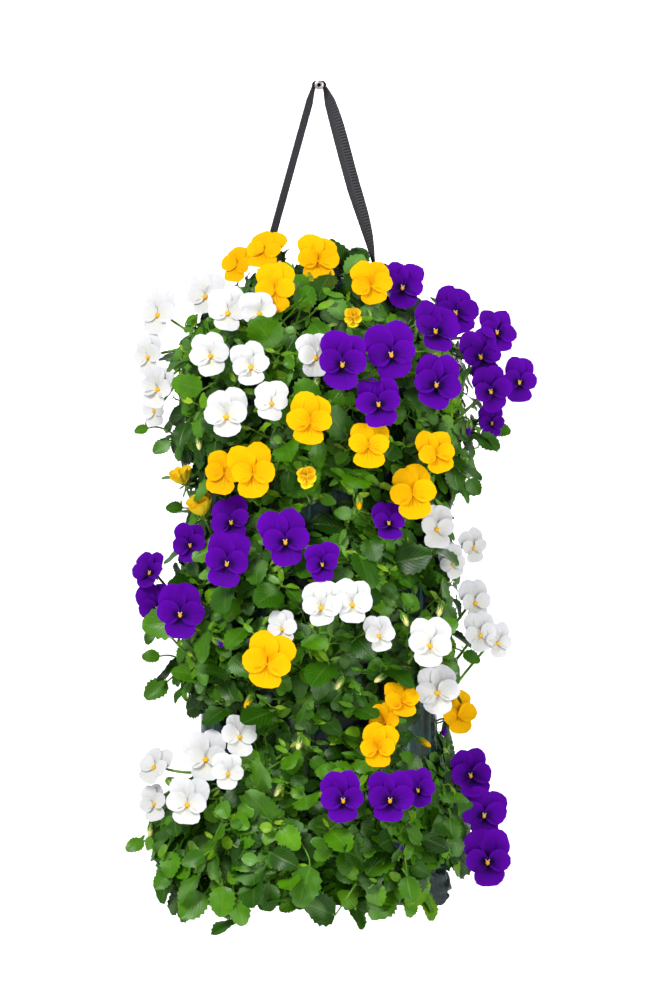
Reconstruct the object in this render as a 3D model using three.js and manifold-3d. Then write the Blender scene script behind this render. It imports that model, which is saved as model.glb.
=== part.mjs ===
// A hanging flower pouch: a film bag full of soil, hung by a webbing strap over a
// screw, with violas planted in its mouth and in round holes in its front and sides.
// Millimetres, +Z up, front towards -Y. The origin is the axis of the screw, under
// the strap's bend, so the planter hangs below it.

import * as THREE from 'three';
import { mergeVertices } from 'three/addons/utils/BufferGeometryUtils.js';
import Module from 'manifold-3d';

const wasm = await Module();
wasm.setup();

// ---- Driving dimensions -------------------------------------------------------

const gap = 0.4;                   // between two pieces that touch
const backPlane = 10;              // y of the pouch's flat back, which leans on the wall
const filmWall = 2;                // solid wall that stands for the thin film
const soilTop = -212;              // level of the soil inside the mouth
const centreY = -34;               // y of the pouch's middle line
const pouchSides = 20;             // points round one section of the pouch
const squareness = 0.82;           // 1 would make each section an ellipse
const rimLevel = -186;

// Sections of the filled pouch: level, half width, depth to the front, depth to the back.
const pouchSections = [
  [rimLevel, 53, 50, 32],
  [soilTop, 78, 63, 42],
  [-238, 102, 74, 52],
  [-300, 116, 82, 54],
  [-610, 118, 86, 54],
  [-720, 122, 84, 54],
  [-780, 128, 64, 52],
  [-810, 134, 30, 27],
  [-824, 137, 8, 8],
];

const strap = { width: 20, thickness: 1.8, tab: 20, steps: 16, crease: -0.2 };
const screw = { shank: 2.5, head: 5, headThickness: 3, length: 52, socket: 1.6, tip: 9 };
const plantHole = 17;              // radius of a planting hole in the film
const rootDepth = 16;              // how far a root stub stands in the soil
const leafRoot = 5;                // radii of the root stubs
const bloomRoot = 3;
const bladeThickness = 0.8;

// How far the foliage reaches: level, to the left, to the right, to the front.
const reach = [
  [-150, 60, 60, 20],
  [-195, 84, 84, 80],
  [-225, 140, 130, 122],
  [-300, 166, 172, 150],
  [-370, 150, 172, 148],
  [-425, 132, 140, 128],
  [-480, 150, 136, 140],
  [-560, 162, 150, 150],
  [-600, 150, 140, 140],
  [-640, 116, 128, 122],
  [-700, 152, 148, 146],
  [-780, 176, 154, 150],
  [-840, 132, 122, 120],
];

// ---- Materials ------------------------------------------------------------------

const finish = (color, roughness, metalness = 0) =>
  new THREE.MeshStandardMaterial({ color, roughness, metalness });
const film = finish(0x24433d, 0.35);
const peat = finish(0x2f2118, 0.95);
const webbing = finish(0x3c3c3e, 0.85);
const steel = finish(0xb5aaa4, 0.35, 1);
const foliage = finish(0x3d7a26, 0.6);
const petals = {
  yellow: finish(0xffc800, 0.6),
  white: finish(0xf4f3f0, 0.6),
  purple: finish(0x4b0aa0, 0.6),
};

// ---- Small tools ------------------------------------------------------------------

// Seeded draws between 0 and 1.
function draws(seed) {
  let state = seed;
  return () => {
    state = (state + 0x6d2b79f5) | 0;
    let t = Math.imul(state ^ (state >>> 15), 1 | state);
    t = (t + Math.imul(t ^ (t >>> 7), 61 | t)) ^ t;
    return ((t ^ (t >>> 14)) >>> 0) / 4294967296;
  };
}

const vector = (x, y, z) => new THREE.Vector3(x, y, z);
const degrees = THREE.MathUtils.degToRad;

// A row of the table at a level, blended between the two rows round it.
function rowAt(table, level) {
  const last = table.length - 1;
  if (level >= table[0][0]) return table[0];
  if (level <= table[last][0]) return table[last];
  const below = table.findIndex((row) => row[0] <= level);
  const [upper, lower] = [table[below - 1], table[below]];
  const t = (upper[0] - level) / (upper[0] - lower[0]);
  return upper.map((value, i) => value + (lower[i] - value) * t);
}

// A closed skin over rings of points, with a fan over each end.
function loft(rings) {
  const count = rings[0].length;
  const positions = rings.flat().flatMap((p) => [p.x, p.y, p.z]);
  const middle = (ring) => ring.reduce((s, p) => s.add(p), vector(0, 0, 0)).divideScalar(count);
  const ends = [middle(rings[0]), middle(rings[rings.length - 1])];
  positions.push(...ends.flatMap((p) => [p.x, p.y, p.z]));
  const index = [];
  const firstEnd = rings.length * count;
  const lastRing = (rings.length - 1) * count;
  for (let i = 0; i < count; i += 1) {
    const j = (i + 1) % count;
    for (let r = 0; r < rings.length - 1; r += 1) {
      const [a, b, c, d] = [r * count + i, r * count + j, (r + 1) * count + i, (r + 1) * count + j];
      index.push(a, c, b, b, c, d);
    }
    index.push(firstEnd, i, j, firstEnd + 1, lastRing + j, lastRing + i);
  }
  return indexed(positions, index);
}

function indexed(positions, index) {
  const geometry = new THREE.BufferGeometry();
  geometry.setAttribute('position', new THREE.Float32BufferAttribute(positions, 3));
  geometry.setIndex(index);
  return geometry;
}

// A round tube along a row of points, with a radius for each.
function tube(points, radii, sides) {
  const normal = vector(0.3, 0.2, 0.9);
  const rings = points.map((centre, s) => {
    const before = points[Math.max(0, s - 1)];
    const after = points[Math.min(points.length - 1, s + 1)];
    const along = after.clone().sub(before).normalize();
    normal.addScaledVector(along, -normal.dot(along)).normalize();
    const across = along.clone().cross(normal);
    const ring = [];
    for (let i = 0; i < sides; i += 1) {
      const turn = (-2 * Math.PI * i) / sides;
      ring.push(centre.clone()
        .addScaledVector(normal, radii[s] * Math.cos(turn))
        .addScaledVector(across, radii[s] * Math.sin(turn)));
    }
    return ring;
  });
  return loft(rings);
}

// Rings of a slim stem along a row of points, turned so that its last ring faces `facing`.
function stemRings(points, radii, sides, facing) {
  const front = facing.clone();
  return points.map((centre, s) => [centre, s]).reverse().map(([centre, s]) => {
    const before = points[Math.max(0, s - 1)];
    const after = points[Math.min(points.length - 1, s + 1)];
    const along = after.clone().sub(before).normalize();
    front.addScaledVector(along, -front.dot(along)).normalize();
    const across = along.clone().cross(front);
    return Array.from({ length: sides }, (_, i) => {
      const turn = (2 * Math.PI * (i + 0.5)) / sides;
      return centre.clone()
        .addScaledVector(front, radii[s] * Math.cos(turn))
        .addScaledVector(across, radii[s] * Math.sin(turn));
    });
  }).reverse();
}

// A mesh that is grown ring by ring, so that no boolean is needed inside one leaf or bloom.
class Skin {
  constructor() {
    this.positions = [];
    this.index = [];
  }

  add(points) {
    const first = this.positions.length / 3;
    points.forEach((p) => this.positions.push(p.x, p.y, p.z));
    return points.map((_, i) => first + i);
  }

  // A wall from a lower ring up to the next, both anticlockwise when seen from above; an
  // open wall stops short of joining its last point to its first.
  wall(from, to, open = false) {
    const edges = from.length - (open ? 1 : 0);
    for (let i = 0; i < edges; i += 1) {
      const j = (i + 1) % from.length;
      this.index.push(from[i], from[j], to[i], to[i], from[j], to[j]);
    }
  }

  fan(middle, ring, up) {
    for (let i = 0; i < ring.length; i += 1) {
      const j = (i + 1) % ring.length;
      this.index.push(...(up ? [middle, ring[i], ring[j]] : [middle, ring[j], ring[i]]));
    }
  }

  // A flat band between an outline and a small hole in it, both anticlockwise from above.
  band(ring, hole, turns, up) {
    const fullTurn = 2 * Math.PI;
    const nearest = ring.map((_, i) => {
      const next = i + 1 === ring.length ? turns[0] + fullTurn : turns[i + 1];
      const share = (turns[i] + next) / 2 / fullTurn;
      return Math.floor(share * hole.length + hole.length) % hole.length;
    });
    const push = (a, b, c) => this.index.push(...(up ? [a, b, c] : [a, c, b]));
    for (let i = 0; i < ring.length; i += 1) {
      const j = (i + 1) % ring.length;
      push(ring[i], ring[j], hole[nearest[i]]);
      if (nearest[i] !== nearest[j]) push(ring[j], hole[nearest[j]], hole[nearest[i]]);
    }
  }

  // A stem that is open at its far end, where its last ring is joined to something.
  stem(rings, end) {
    const all = [...rings.slice(0, -1).map((ring) => this.add(ring)), end];
    for (let s = 0; s < all.length - 1; s += 1) this.wall(all[s], all[s + 1]);
    const foot = all[0];
    for (let i = 1; i < foot.length - 1; i += 1) this.index.push(foot[0], foot[i + 1], foot[i]);
  }

  geometry() {
    return indexed(this.positions, this.index);
  }
}

function solidOf(geometry) {
  const bare = geometry.clone();
  ['normal', 'uv'].forEach((name) => bare.deleteAttribute(name));
  const merged = mergeVertices(bare, 1e-4);
  return new wasm.Manifold(new wasm.Mesh({
    numProp: 3,
    vertProperties: new Float32Array(merged.attributes.position.array),
    triVerts: new Uint32Array(merged.index.array),
  }));
}

function geometryOf(solid) {
  const mesh = solid.getMesh();
  return indexed(Array.from(mesh.vertProperties), Array.from(mesh.triVerts));
}

const planter = new THREE.Group();

function addNode(name, shape, material) {
  const geometry = shape.isBufferGeometry ? shape : geometryOf(shape);
  const mesh = new THREE.Mesh(geometry, material);
  mesh.name = name;
  planter.add(mesh);
}

// ---- Pouch and soil ---------------------------------------------------------------

// One point of the pouch's skin: `around` runs from the left side (-90 degrees) over the
// front (0) to the right side (90) and on over the back, which the wall keeps flat.
function pouchPoint(level, around, inset = 0) {
  const [, halfWidth, front, back] = rowAt(pouchSections, level);
  const side = Math.sin(degrees(around));
  const ahead = Math.cos(degrees(around));
  const x = Math.sign(side) * (halfWidth - inset) * Math.abs(side) ** squareness;
  const depth = (ahead > 0 ? front : back) - Math.min(inset, 6);
  const y = centreY - Math.sign(ahead) * depth * Math.abs(ahead) ** squareness;
  return vector(x, Math.min(y, backPlane - inset), level);
}

function pouchRing(level, inset, liftedTo = level) {
  const ring = [];
  for (let i = 0; i < pouchSides; i += 1) {
    ring.push(pouchPoint(level, (360 * i) / pouchSides, inset).setZ(liftedTo));
  }
  return ring;
}

const levels = pouchSections.map((row) => row[0]);
const outer = loft(levels.map((level) => pouchRing(level, 0)));
const innerLevels = levels.slice(0, -1);
const inner = loft([pouchRing(rimLevel, filmWall, rimLevel + 5),
  ...innerLevels.map((level) => pouchRing(level, filmWall))]);
let pouch = solidOf(outer).subtract(solidOf(inner));

const soilInset = filmWall + gap;
const soilLevels = innerLevels.filter((level) => level < soilTop);
const baseLift = 0.5;
let soil = solidOf(loft([
  pouchRing(soilTop, soilInset + 16, soilTop + 8),
  pouchRing(soilTop, soilInset),
  ...soilLevels.map((level, i) =>
    pouchRing(level, soilInset, i === soilLevels.length - 1 ? level + baseLift : level)),
]));

// The outward direction of the pouch's skin at a point.
function outward(level, around) {
  const step = 3;
  const across = pouchPoint(level, around + step).sub(pouchPoint(level, around - step));
  const upward = pouchPoint(level + step, around).sub(pouchPoint(level - step, around));
  return across.cross(upward).normalize();
}

// Planting holes, in rows of four and three, and two places in the open mouth.
const holeRows = [
  { level: -268, turns: [-84, -30, 30, 84] },
  { level: -372, turns: [-60, 0, 60] },
  { level: -480, turns: [-84, -30, 30, 84] },
  { level: -590, turns: [-60, 0, 60] },
  { level: -700, turns: [-84, -30, 30, 84] },
];
const places = holeRows.flatMap(({ level, turns }) => turns.map((turn) => ({
  at: pouchPoint(level, turn), out: outward(level, turn), inFilm: true,
})));
[-26, 26].forEach((x) => places.push({
  at: vector(x, centreY - 8, soilTop + 8), out: vector(0, 0, 1), inFilm: false,
}));

function rod(from, to, radius, sides) {
  return tube([from, to], [radius, radius], sides);
}

for (const place of places) {
  if (place.inFilm) {
    const start = place.at.clone().addScaledVector(place.out, -12);
    const end = place.at.clone().addScaledVector(place.out, 12);
    pouch = pouch.subtract(solidOf(rod(start, end, plantHole, 8)));
  }
}

// ---- Screw and strap ----------------------------------------------------------------

const headY = -17;
const screwProfile = [
  [0, screw.length - 1], [screw.shank * 0.3, screw.length - 1],
  [screw.shank, screw.length - screw.tip], [screw.shank, 0.2],
  [screw.head, -1], [screw.head * 0.9, -screw.headThickness],
  [screw.socket, -screw.headThickness], [screw.socket, -1], [0, -1],
].map(([r, y]) => new THREE.Vector2(r, y));
const screwShape = new THREE.LatheGeometry(screwProfile.reverse(), 12);
screwShape.translate(0, headY + screw.headThickness, 0);
addNode('hanging_screw', solidOf(screwShape), steel);

// The strap runs from the left seam up over the screw and down to the right seam. Each row is
// a point on its middle line, the turn of its width away from straight front to back, and
// how far its front part is folded over outwards.
const bend = screw.shank + gap + strap.thickness / 2;
const strapY = -2.5;
function strapLeg(side, turns, folds) {
  const onFilm = (level) => pouchPoint(level, side * 90)
    .addScaledVector(outward(level, side * 90), gap + strap.thickness / 2);
  const top = vector(side * bend, strapY, -2);
  const foot = onFilm(rimLevel - 3);
  const rows = [];
  for (let s = 0; s <= strap.steps; s += 1) {
    const t = s / strap.steps;
    rows.push({ at: top.clone().lerp(foot, t), turn: turns(t), fold: folds(t) });
  }
  rows.push({ at: onFilm(rimLevel - strap.tab), turn: 0, fold: 0 });
  return rows;
}
const bow = (t) => Math.sin(Math.PI * t);
const held = (t) => Math.min(1, t / 0.12, (1 - t) / 0.1);
const leftLeg = strapLeg(-1, (t) => 18 * held(t), () => 0);
const rightLeg = strapLeg(1, (t) => -(24 + 12 * bow(t)) * held(t), (t) => -84 * bow(t));
const overScrew = [150, 120, 90, 60, 30].map((a) => ({
  at: vector(bend * Math.cos(degrees(a)), strapY, bend * Math.sin(degrees(a))),
  turn: 0,
  fold: 0,
}));
const strapRows = [...leftLeg.reverse(), ...overScrew, ...rightLeg];

function strapShape() {
  const rings = strapRows.map((row, i) => {
    const before = strapRows[Math.max(0, i - 1)].at;
    const after = strapRows[Math.min(strapRows.length - 1, i + 1)].at;
    const along = after.clone().sub(before).normalize();
    const wide = vector(0, 1, 0).applyAxisAngle(along, degrees(row.turn));
    wide.addScaledVector(along, -wide.dot(along)).normalize();
    const flap = wide.clone().applyAxisAngle(along, degrees(row.fold));
    const half = strap.width / 2;
    const back = row.at.clone().addScaledVector(wide, half);
    const crease = row.at.clone().addScaledVector(wide, half * strap.crease);
    const front = crease.clone().addScaledVector(flap, -half * (1 + strap.crease));
    const thick = along.clone().cross(wide).multiplyScalar(strap.thickness / 2);
    const thickFlap = along.clone().cross(flap).multiplyScalar(strap.thickness / 2);
    const thickCrease = thick.clone().add(thickFlap).multiplyScalar(0.5)
      .divideScalar(Math.cos(degrees(row.fold / 2)) ** 2);
    return [back.clone().add(thick), back.clone().sub(thick),
      crease.clone().sub(thickCrease), front.clone().sub(thickFlap),
      front.clone().add(thickFlap), crease.clone().add(thickCrease)];
  });
  return loft(rings);
}
addNode('webbing_strap', solidOf(strapShape()), webbing);

// ---- What is already placed, so that nothing new crosses it ---------------------------

const placed = [];

function boxOf(geometry) {
  geometry.computeBoundingBox();
  return geometry.boundingBox;
}

// Nothing that is placed crosses the shape, apart from what its owner may touch.
function isClear(geometry, isOwn) {
  const box = boxOf(geometry);
  const near = placed.filter((item) => !isOwn(item) && item.box.intersectsBox(box));
  if (near.length === 0) return true;
  const solid = solidOf(geometry);
  return near.every((item) => solid.intersect(item.solid).getMesh().triVerts.length === 0);
}

function keep(node, group, geometry) {
  placed.push({ node, group, box: boxOf(geometry).clone(), solid: solidOf(geometry) });
}

planter.children.forEach((mesh) => keep(mesh.name, mesh.name, mesh.geometry));
keep('pouch', 'pouch', geometryOf(pouch));
keep('soil', 'soil', geometryOf(soil));

function fused(node) {
  return placed.filter((item) => item.node === node)
    .map((item) => item.solid).reduce((sum, solid) => sum.add(solid));
}

// A root stub in its own plain hole in the soil, at one of the places.
function plantRoot(node, place, shift, radius) {
  const side = vector(0, 0, 1).cross(place.out);
  if (side.length() < 0.1) side.set(1, 0, 0);
  side.normalize();
  const rise = place.out.clone().cross(side);
  const middle = place.at.clone().addScaledVector(side, shift[0]).addScaledVector(rise, shift[1]);
  const bottom = middle.clone().addScaledVector(place.out, -rootDepth);
  const top = middle.clone().addScaledVector(place.out, 5);
  const bore = rod(bottom.clone().addScaledVector(place.out, -gap),
    top.clone().addScaledVector(place.out, 4), radius + gap, 5);
  soil = soil.subtract(solidOf(bore));
  placed.find((item) => item.node === 'soil').solid = soil;
  keep(node, `${node} root`, rod(bottom, top, radius, 5));
  return top;
}

// A stalk from a root to a point: out of the pouch first, then towards its end.
function stalkCurve(root, place, end, arrive, bulge) {
  const length = root.distanceTo(end);
  const rise = place.inFilm ? 0.3 * length : 30 + 0.25 * length;
  const first = root.clone().addScaledVector(place.out, rise).add(bulge);
  const second = end.clone().addScaledVector(arrive, -length * 0.3).addScaledVector(bulge, 0.6);
  if (!place.inFilm) second.z += 14;
  const start = root.clone().addScaledVector(place.out, -2);
  return new THREE.CubicBezierCurve3(start, first, second, end);
}

// ---- Blooms ----------------------------------------------------------------------------

// The front of the foliage at a place seen from the front.
function reachY(x, level) {
  const [, left, right, front] = rowAt(reach, level);
  const share = Math.min(1, Math.abs(x) / (x < 0 ? left : right));
  return centreY - front * Math.sqrt(1 - share ** 2);
}

// Outlines for a bloom 1 wide, looking along +Z with +Y up: two lobes behind, three in front.
const upperPetals = [
  [-0.16, -0.12], [0.16, -0.12], [0.44, 0.18], [0.24, 0.48],
  [0, 0.34], [-0.24, 0.48], [-0.44, 0.18],
];
const lowerPetals = [
  [-0.36, 0.18], [-0.48, -0.06], [-0.24, -0.2], [-0.24, -0.42],
  [0, -0.48], [0.24, -0.42], [0.24, -0.2], [0.48, -0.06], [0.36, 0.18],
];

function bloomPose(x, level, yaw, pitch, roll, lift) {
  const pose = new THREE.Object3D();
  pose.position.set(x, reachY(x, level) - lift, level);
  const turned = new THREE.Matrix4()
    .multiply(new THREE.Matrix4().makeRotationZ(degrees(yaw)))
    .multiply(new THREE.Matrix4().makeRotationX(degrees(90 - pitch)))
    .multiply(new THREE.Matrix4().makeRotationZ(degrees(roll)));
  pose.quaternion.setFromRotationMatrix(turned);
  pose.updateMatrix();
  return pose;
}

// One bloom with its stalk, in one skin: the three front petals, the two behind them, and
// the stalk from the bloom's back down to its root.
function bloomShape(size, matrix, stalkPoints, spare) {
  const skin = new Skin();
  const half = (bladeThickness + spare) / 2;
  const cup = (x, y) => (0.12 * (x * x + y * y)) / size;
  const place = (x, y, z) => vector(x, y, z).applyMatrix4(matrix);
  const turnsOf = (outline) => outline.map(([x, y]) => Math.atan2(y, x))
    .map((turn, i, all) => (turn < all[0] ? turn + 2 * Math.PI : turn));
  const ringOf = (outline, depth) => skin.add(outline.map(([x, y]) =>
    place(x * size, y * size, cup(x * size, y * size) + depth)));
  const holeAt = (depth) => skin.add([60, 180, 300].map((turn) =>
    place(neck * Math.cos(degrees(turn)), neck * Math.sin(degrees(turn)), depth)));

  const [frontUp, frontDown] = [ringOf(lowerPetals, half), ringOf(lowerPetals, -half)];
  const [heart] = skin.add([place(0, 0, half)]);
  skin.fan(heart, frontUp, true);
  skin.wall(frontDown, frontUp);
  const [backUp, backDown] = [ringOf(upperPetals, half - layer), ringOf(upperPetals, -half - layer)];
  skin.wall(backDown, backUp);
  const holes = [-half, half - layer, -half - layer].map(holeAt);
  skin.band(frontDown, holes[0], turnsOf(lowerPetals), false);
  skin.wall(holes[1], holes[0]);
  skin.band(backUp, holes[1], turnsOf(upperPetals), true);
  skin.band(backDown, holes[2], turnsOf(upperPetals), false);

  const sideways = place(1, 0, 0).sub(place(0, 0, 0));
  const radii = stalk.radii.map((radius) => radius + spare / 2);
  skin.stem(stemRings(stalkPoints, radii, 3, sideways), holes[2]);
  return skin.geometry();
}

// Each bloom: x, level, width, yaw (towards +X), pitch (upwards), and how far it stands proud.
const sprays = [
  { name: 'yellow_top_left', color: 'yellow', blooms: [
    [-82, -179, 38, -30, 20, 0], [-54, -164, 44, -20, 35, 0], [-44, -204, 48, 0, 10, 22]] },
  { name: 'yellow_top', color: 'yellow', blooms: [
    [-1, -174, 48, 10, 20, 4], [51, -199, 46, 10, 10, 14], [34, -232, 18, 0, 0, 8]] },
  { name: 'white_shoulder', color: 'white', blooms: [
    [-114, -209, 42, -15, 20, 2], [-91, -226, 42, -5, 10, 14], [-60, -227, 38, 5, 10, 6]] },
  { name: 'white_far_left', color: 'white', blooms: [
    [-161, -227, 42, -35, 10, 0], [-172, -270, 36, -40, 0, 0], [-161, -302, 40, -30, 0, 8],
    [-166, -324, 32, -40, -10, 0]] },
  { name: 'white_upper_left', color: 'white', blooms: [
    [-109, -269, 40, -10, 5, 14], [-69, -280, 42, 0, 5, 10], [-93, -329, 46, -5, 5, 12],
    [-47, -317, 36, 5, 10, 6], [-3, -271, 38, 10, 0, 0]] },
  { name: 'purple_top', color: 'purple', blooms: [
    [84, -200, 44, 10, 10, 30], [24, -277, 50, -5, 5, 18], [71, -267, 50, 5, 10, 14],
    [59, -317, 44, 0, 0, 14]] },
  { name: 'purple_upper_right', color: 'purple', blooms: [
    [116, -244, 48, 25, 20, 18], [136, -225, 44, 20, 15, 14], [118, -297, 48, 10, 0, 20],
    [161, -269, 44, 20, 5, 24], [178, -245, 40, 30, 15, 10]] },
  { name: 'purple_far_right', color: 'purple', blooms: [
    [171, -304, 42, 25, 0, 20], [201, -295, 38, 25, 0, 6], [173, -337, 28, 20, -10, 6]] },
  { name: 'yellow_centre', color: 'yellow', blooms: [
    [-9, -336, 50, 0, 5, 14], [49, -360, 46, 5, 15, 10], [-13, -391, 20, 0, 0, 10]] },
  { name: 'yellow_right', color: 'yellow', blooms: [
    [116, -368, 44, 15, 10, 14], [93, -407, 50, 5, 0, 14]] },
  { name: 'yellow_left', color: 'yellow', blooms: [
    [-94, -387, 44, -15, 10, 8], [-67, -387, 50, 0, 5, 14], [-135, -397, 24, -30, 0, 4],
    [-116, -428, 28, -25, 0, 16]] },
  { name: 'purple_left', color: 'purple', blooms: [
    [-88, -436, 40, -15, 15, 4], [-129, -459, 34, -20, 0, 6], [-91, -476, 46, -15, 0, 14]] },
  { name: 'purple_far_left', color: 'purple', blooms: [
    [-169, -487, 36, -35, 20, 0], [-162, -522, 42, -20, 0, 4], [-139, -527, 46, -5, 0, 14]] },
  { name: 'purple_centre', color: 'purple', blooms: [
    [-34, -454, 48, 0, 0, 14], [3, -478, 34, 0, 0, 12], [69, -437, 36, 20, 20, 2]] },
  { name: 'white_centre', color: 'white', blooms: [
    [2, -520, 42, 0, 5, 12], [33, -517, 42, 5, 5, 15], [59, -549, 36, 25, 0, 10],
    [-37, -543, 32, -10, 10, 0]] },
  { name: 'white_right', color: 'white', blooms: [
    [118, -442, 38, 20, 0, 12], [154, -462, 32, 35, 0, 4], [133, -478, 30, 30, 0, 10]] },
  { name: 'white_far_right', color: 'white', blooms: [
    [156, -517, 36, 25, 0, 4], [161, -549, 36, 20, 0, 12], [179, -557, 34, 35, 0, 2]] },
  { name: 'white_lower_right', color: 'white', blooms: [
    [111, -558, 44, 10, 5, 14], [118, -605, 46, 5, 0, 16]] },
  { name: 'yellow_lower_left', color: 'yellow', blooms: [[-51, -576, 54, 0, 5, 20]] },
  { name: 'yellow_lower_right', color: 'yellow', blooms: [
    [81, -615, 40, 20, 20, 14], [66, -636, 36, -10, 10, 12], [59, -662, 42, 0, 0, 10],
    [138, -629, 42, 25, 0, 14]] },
  { name: 'white_lower_left', color: 'white', blooms: [
    [-114, -672, 46, -10, 10, 16], [-79, -650, 38, 20, 10, 12], [-91, -687, 34, 0, 0, 12],
    [-131, -717, 44, -10, 0, 16]] },
  { name: 'white_far_lower_left', color: 'white', blooms: [
    [-164, -682, 38, -35, 20, 4], [-166, -719, 34, -35, 0, 4]] },
  { name: 'purple_bottom', color: 'purple', blooms: [
    [24, -712, 46, -10, 0, 12], [71, -712, 48, 5, 5, 14], [98, -704, 34, 20, 10, 6]] },
  { name: 'purple_lower_right', color: 'purple', blooms: [
    [151, -689, 44, 20, 5, 8], [166, -729, 44, 15, 0, 10], [169, -775, 50, 10, -5, 12]] },
];

// The place whose plant a spray belongs to: the nearest, preferring one below it.
function nearestPlace(point) {
  const cost = (place) => {
    const offset = point.clone().sub(place.at);
    return offset.length() + (offset.z < 0 ? 25 : 0) + (place.taken || 0) * 12;
  };
  return places.reduce((best, place) => (cost(place) < cost(best) ? place : best));
}

const neck = 1.9;                  // radius of a bloom's neck between its petals
const layer = 3;                   // from the front petals to the ones behind
const stem = { stops: [0, 0.55, 1], radii: [1.8, 1.5, 1.3] };
const stalk = { stops: [0, 0.5, 0.9, 1], radii: [1.7, 1.4, 1.3, 1.9] };
const tries = { stalk: 60, leaf: 30, stem: 3 };
const shiftsInHole = [[0, 9.5], [-9.5, 2], [9.5, 2], [-9, -7], [9, -7]];

// The first way from a root to an end that leaves the shape built on it clear of the rest.
function findWay(kind, root, place, end, arrive, random, limit, build, fits) {
  for (let t = 0; t < limit; t += 1) {
    const wander = 6 + Math.min(t, 16) * 3;
    const low = place.inFilm ? 0.7 : 0.2;
    const bulge = vector(random() - 0.5, random() - 0.5, random() - low).multiplyScalar(wander);
    const curve = stalkCurve(root, place, end, arrive, bulge);
    const points = kind.stops.map((stop) => curve.getPoint(stop));
    if (fits(points)) return build(points, 0);
  }
  return null;
}

places.forEach((place, number) => {
  place.node = `leaves_${String(number + 1).padStart(2, '0')}`;
  place.root = plantRoot(place.node, place, [0, place.inFilm ? -4 : 0], leafRoot);
  place.random = draws(500 + number);
});

const planted = sprays.map((spray, number) => {
  const node = `blooms_${spray.name}`;
  const random = draws(100 + number);
  const poses = spray.blooms.map(([x, level, size, yaw, pitch, lift]) => ({
    size, pose: bloomPose(x, level, yaw, pitch, (random() - 0.5) * 24, lift),
  }));
  const centre = poses.reduce((s, { pose }) => s.add(pose.position), vector(0, 0, 0))
    .divideScalar(poses.length);
  const place = nearestPlace(centre);
  place.taken = (place.taken || 0) + 1;
  const root = plantRoot(node, place, shiftsInHole[place.taken - 1], bloomRoot);
  return { node, random, poses, place, root };
});
planted.forEach(({ node, random, poses, place, root }) => {
  poses.forEach(({ size, pose }) => {
    const facing = vector(0, 0, 1).applyQuaternion(pose.quaternion);
    const end = pose.position.clone().addScaledVector(facing, -layer - bladeThickness / 2);
    const arrive = facing.clone().add(vector(0, 0, 0.3)).normalize();
    const build = (points, spare) => bloomShape(size, pose.matrix, points, spare);
    const fits = (points) => isClear(build(points, 2 * gap), (item) => item.node === node);
    const shape = findWay(stalk, root, place, end, arrive, random, tries.stalk, build, fits);
    if (shape) keep(node, node, shape);
  });
});

// ---- Leafy stems ------------------------------------------------------------------------

// Outline of a leaf 1 long, from its base at 0 to its tip at 1 along +X, with blunt teeth.
const leafHalf = [[0, 0.05], [0.3, 0.39], [0.48, 0.31], [0.72, 0.31]];
const teeth = leafHalf.slice(1);
const leafOutline = [...teeth.map(([x, y]) => [x, -y]), [1, 0], ...teeth.slice().reverse()];

function leafShape(length, droop, matrix, stemPoints, spare) {
  const skin = new Skin();
  const half = (bladeThickness + spare) / 2;
  const wide = leafHalf[0][1] * length;
  const at = (x, y, side) => vector(x, y,
    Math.abs(y) * 0.22 - (droop * x * x) / length + side * half).applyMatrix4(matrix);
  const base = skin.add([at(0, -wide, 1), at(0, -wide, -1), at(0, wide, -1), at(0, wide, 1)]);
  const edge = leafOutline.map(([x, y]) => [x * length, y * length]);
  const upper = [base[0], ...skin.add(edge.map(([x, y]) => at(x, y, 1))), base[3]];
  const lower = [base[1], ...skin.add(edge.map(([x, y]) => at(x, y, -1))), base[2]];
  const [top, bottom] = skin.add([at(0.5 * length, 0, 1), at(0.5 * length, 0, -1)]);
  skin.fan(top, upper, true);
  skin.fan(bottom, lower, false);
  skin.wall(lower, upper, true);
  const radii = stem.radii.slice(-stemPoints.length).map((radius) => radius + spare / 2);
  const light = vector(0, 0, 1).transformDirection(matrix);
  skin.stem(stemRings(stemPoints, radii, 4, light), base);
  return skin.geometry();
}

// A leaf's place: base point, direction along it, and the side that faces the light.
function leafMatrix(base, along, light) {
  const x = along.clone().normalize();
  const z = light.clone().addScaledVector(x, -light.dot(x)).normalize();
  const y = z.clone().cross(x);
  return new THREE.Matrix4().makeBasis(x, y, z).setPosition(base);
}

// A leaf on a stem or stalk from a root; the stem's end bends into the leaf.
function growLeaf(node, place, root, base, outwards, light, random) {
  const swing = (amount) => (random() - 0.5) * amount;
  for (let t = 0; t < tries.leaf; t += 1) {
    const direction = outwards.clone().add(vector(swing(1.5), swing(0.8), swing(1.5)));
    const towards = light.clone().add(vector(swing(0.9), swing(0.5), swing(0.9)));
    const length = 40 - random() * 12 - t * 0.6;
    const droop = 0.1 + random() * 0.35;
    const matrix = leafMatrix(base, direction, towards);
    const arrive = direction.clone().normalize();
    const build = (points, spare) =>
      leafShape(length + spare, droop, matrix, points, spare);
    const fits = (points) => isClear(build(points, 2 * gap), (item) => item.node === node)
      && isClear(build(points.slice(-2), 0), (item) => item.node !== node || item.group !== node);
    const shape = findWay(stem, root, place, base, arrive, random, tries.stem, build, fits);
    if (shape) return shape;
  }
  return null;
}

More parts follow.
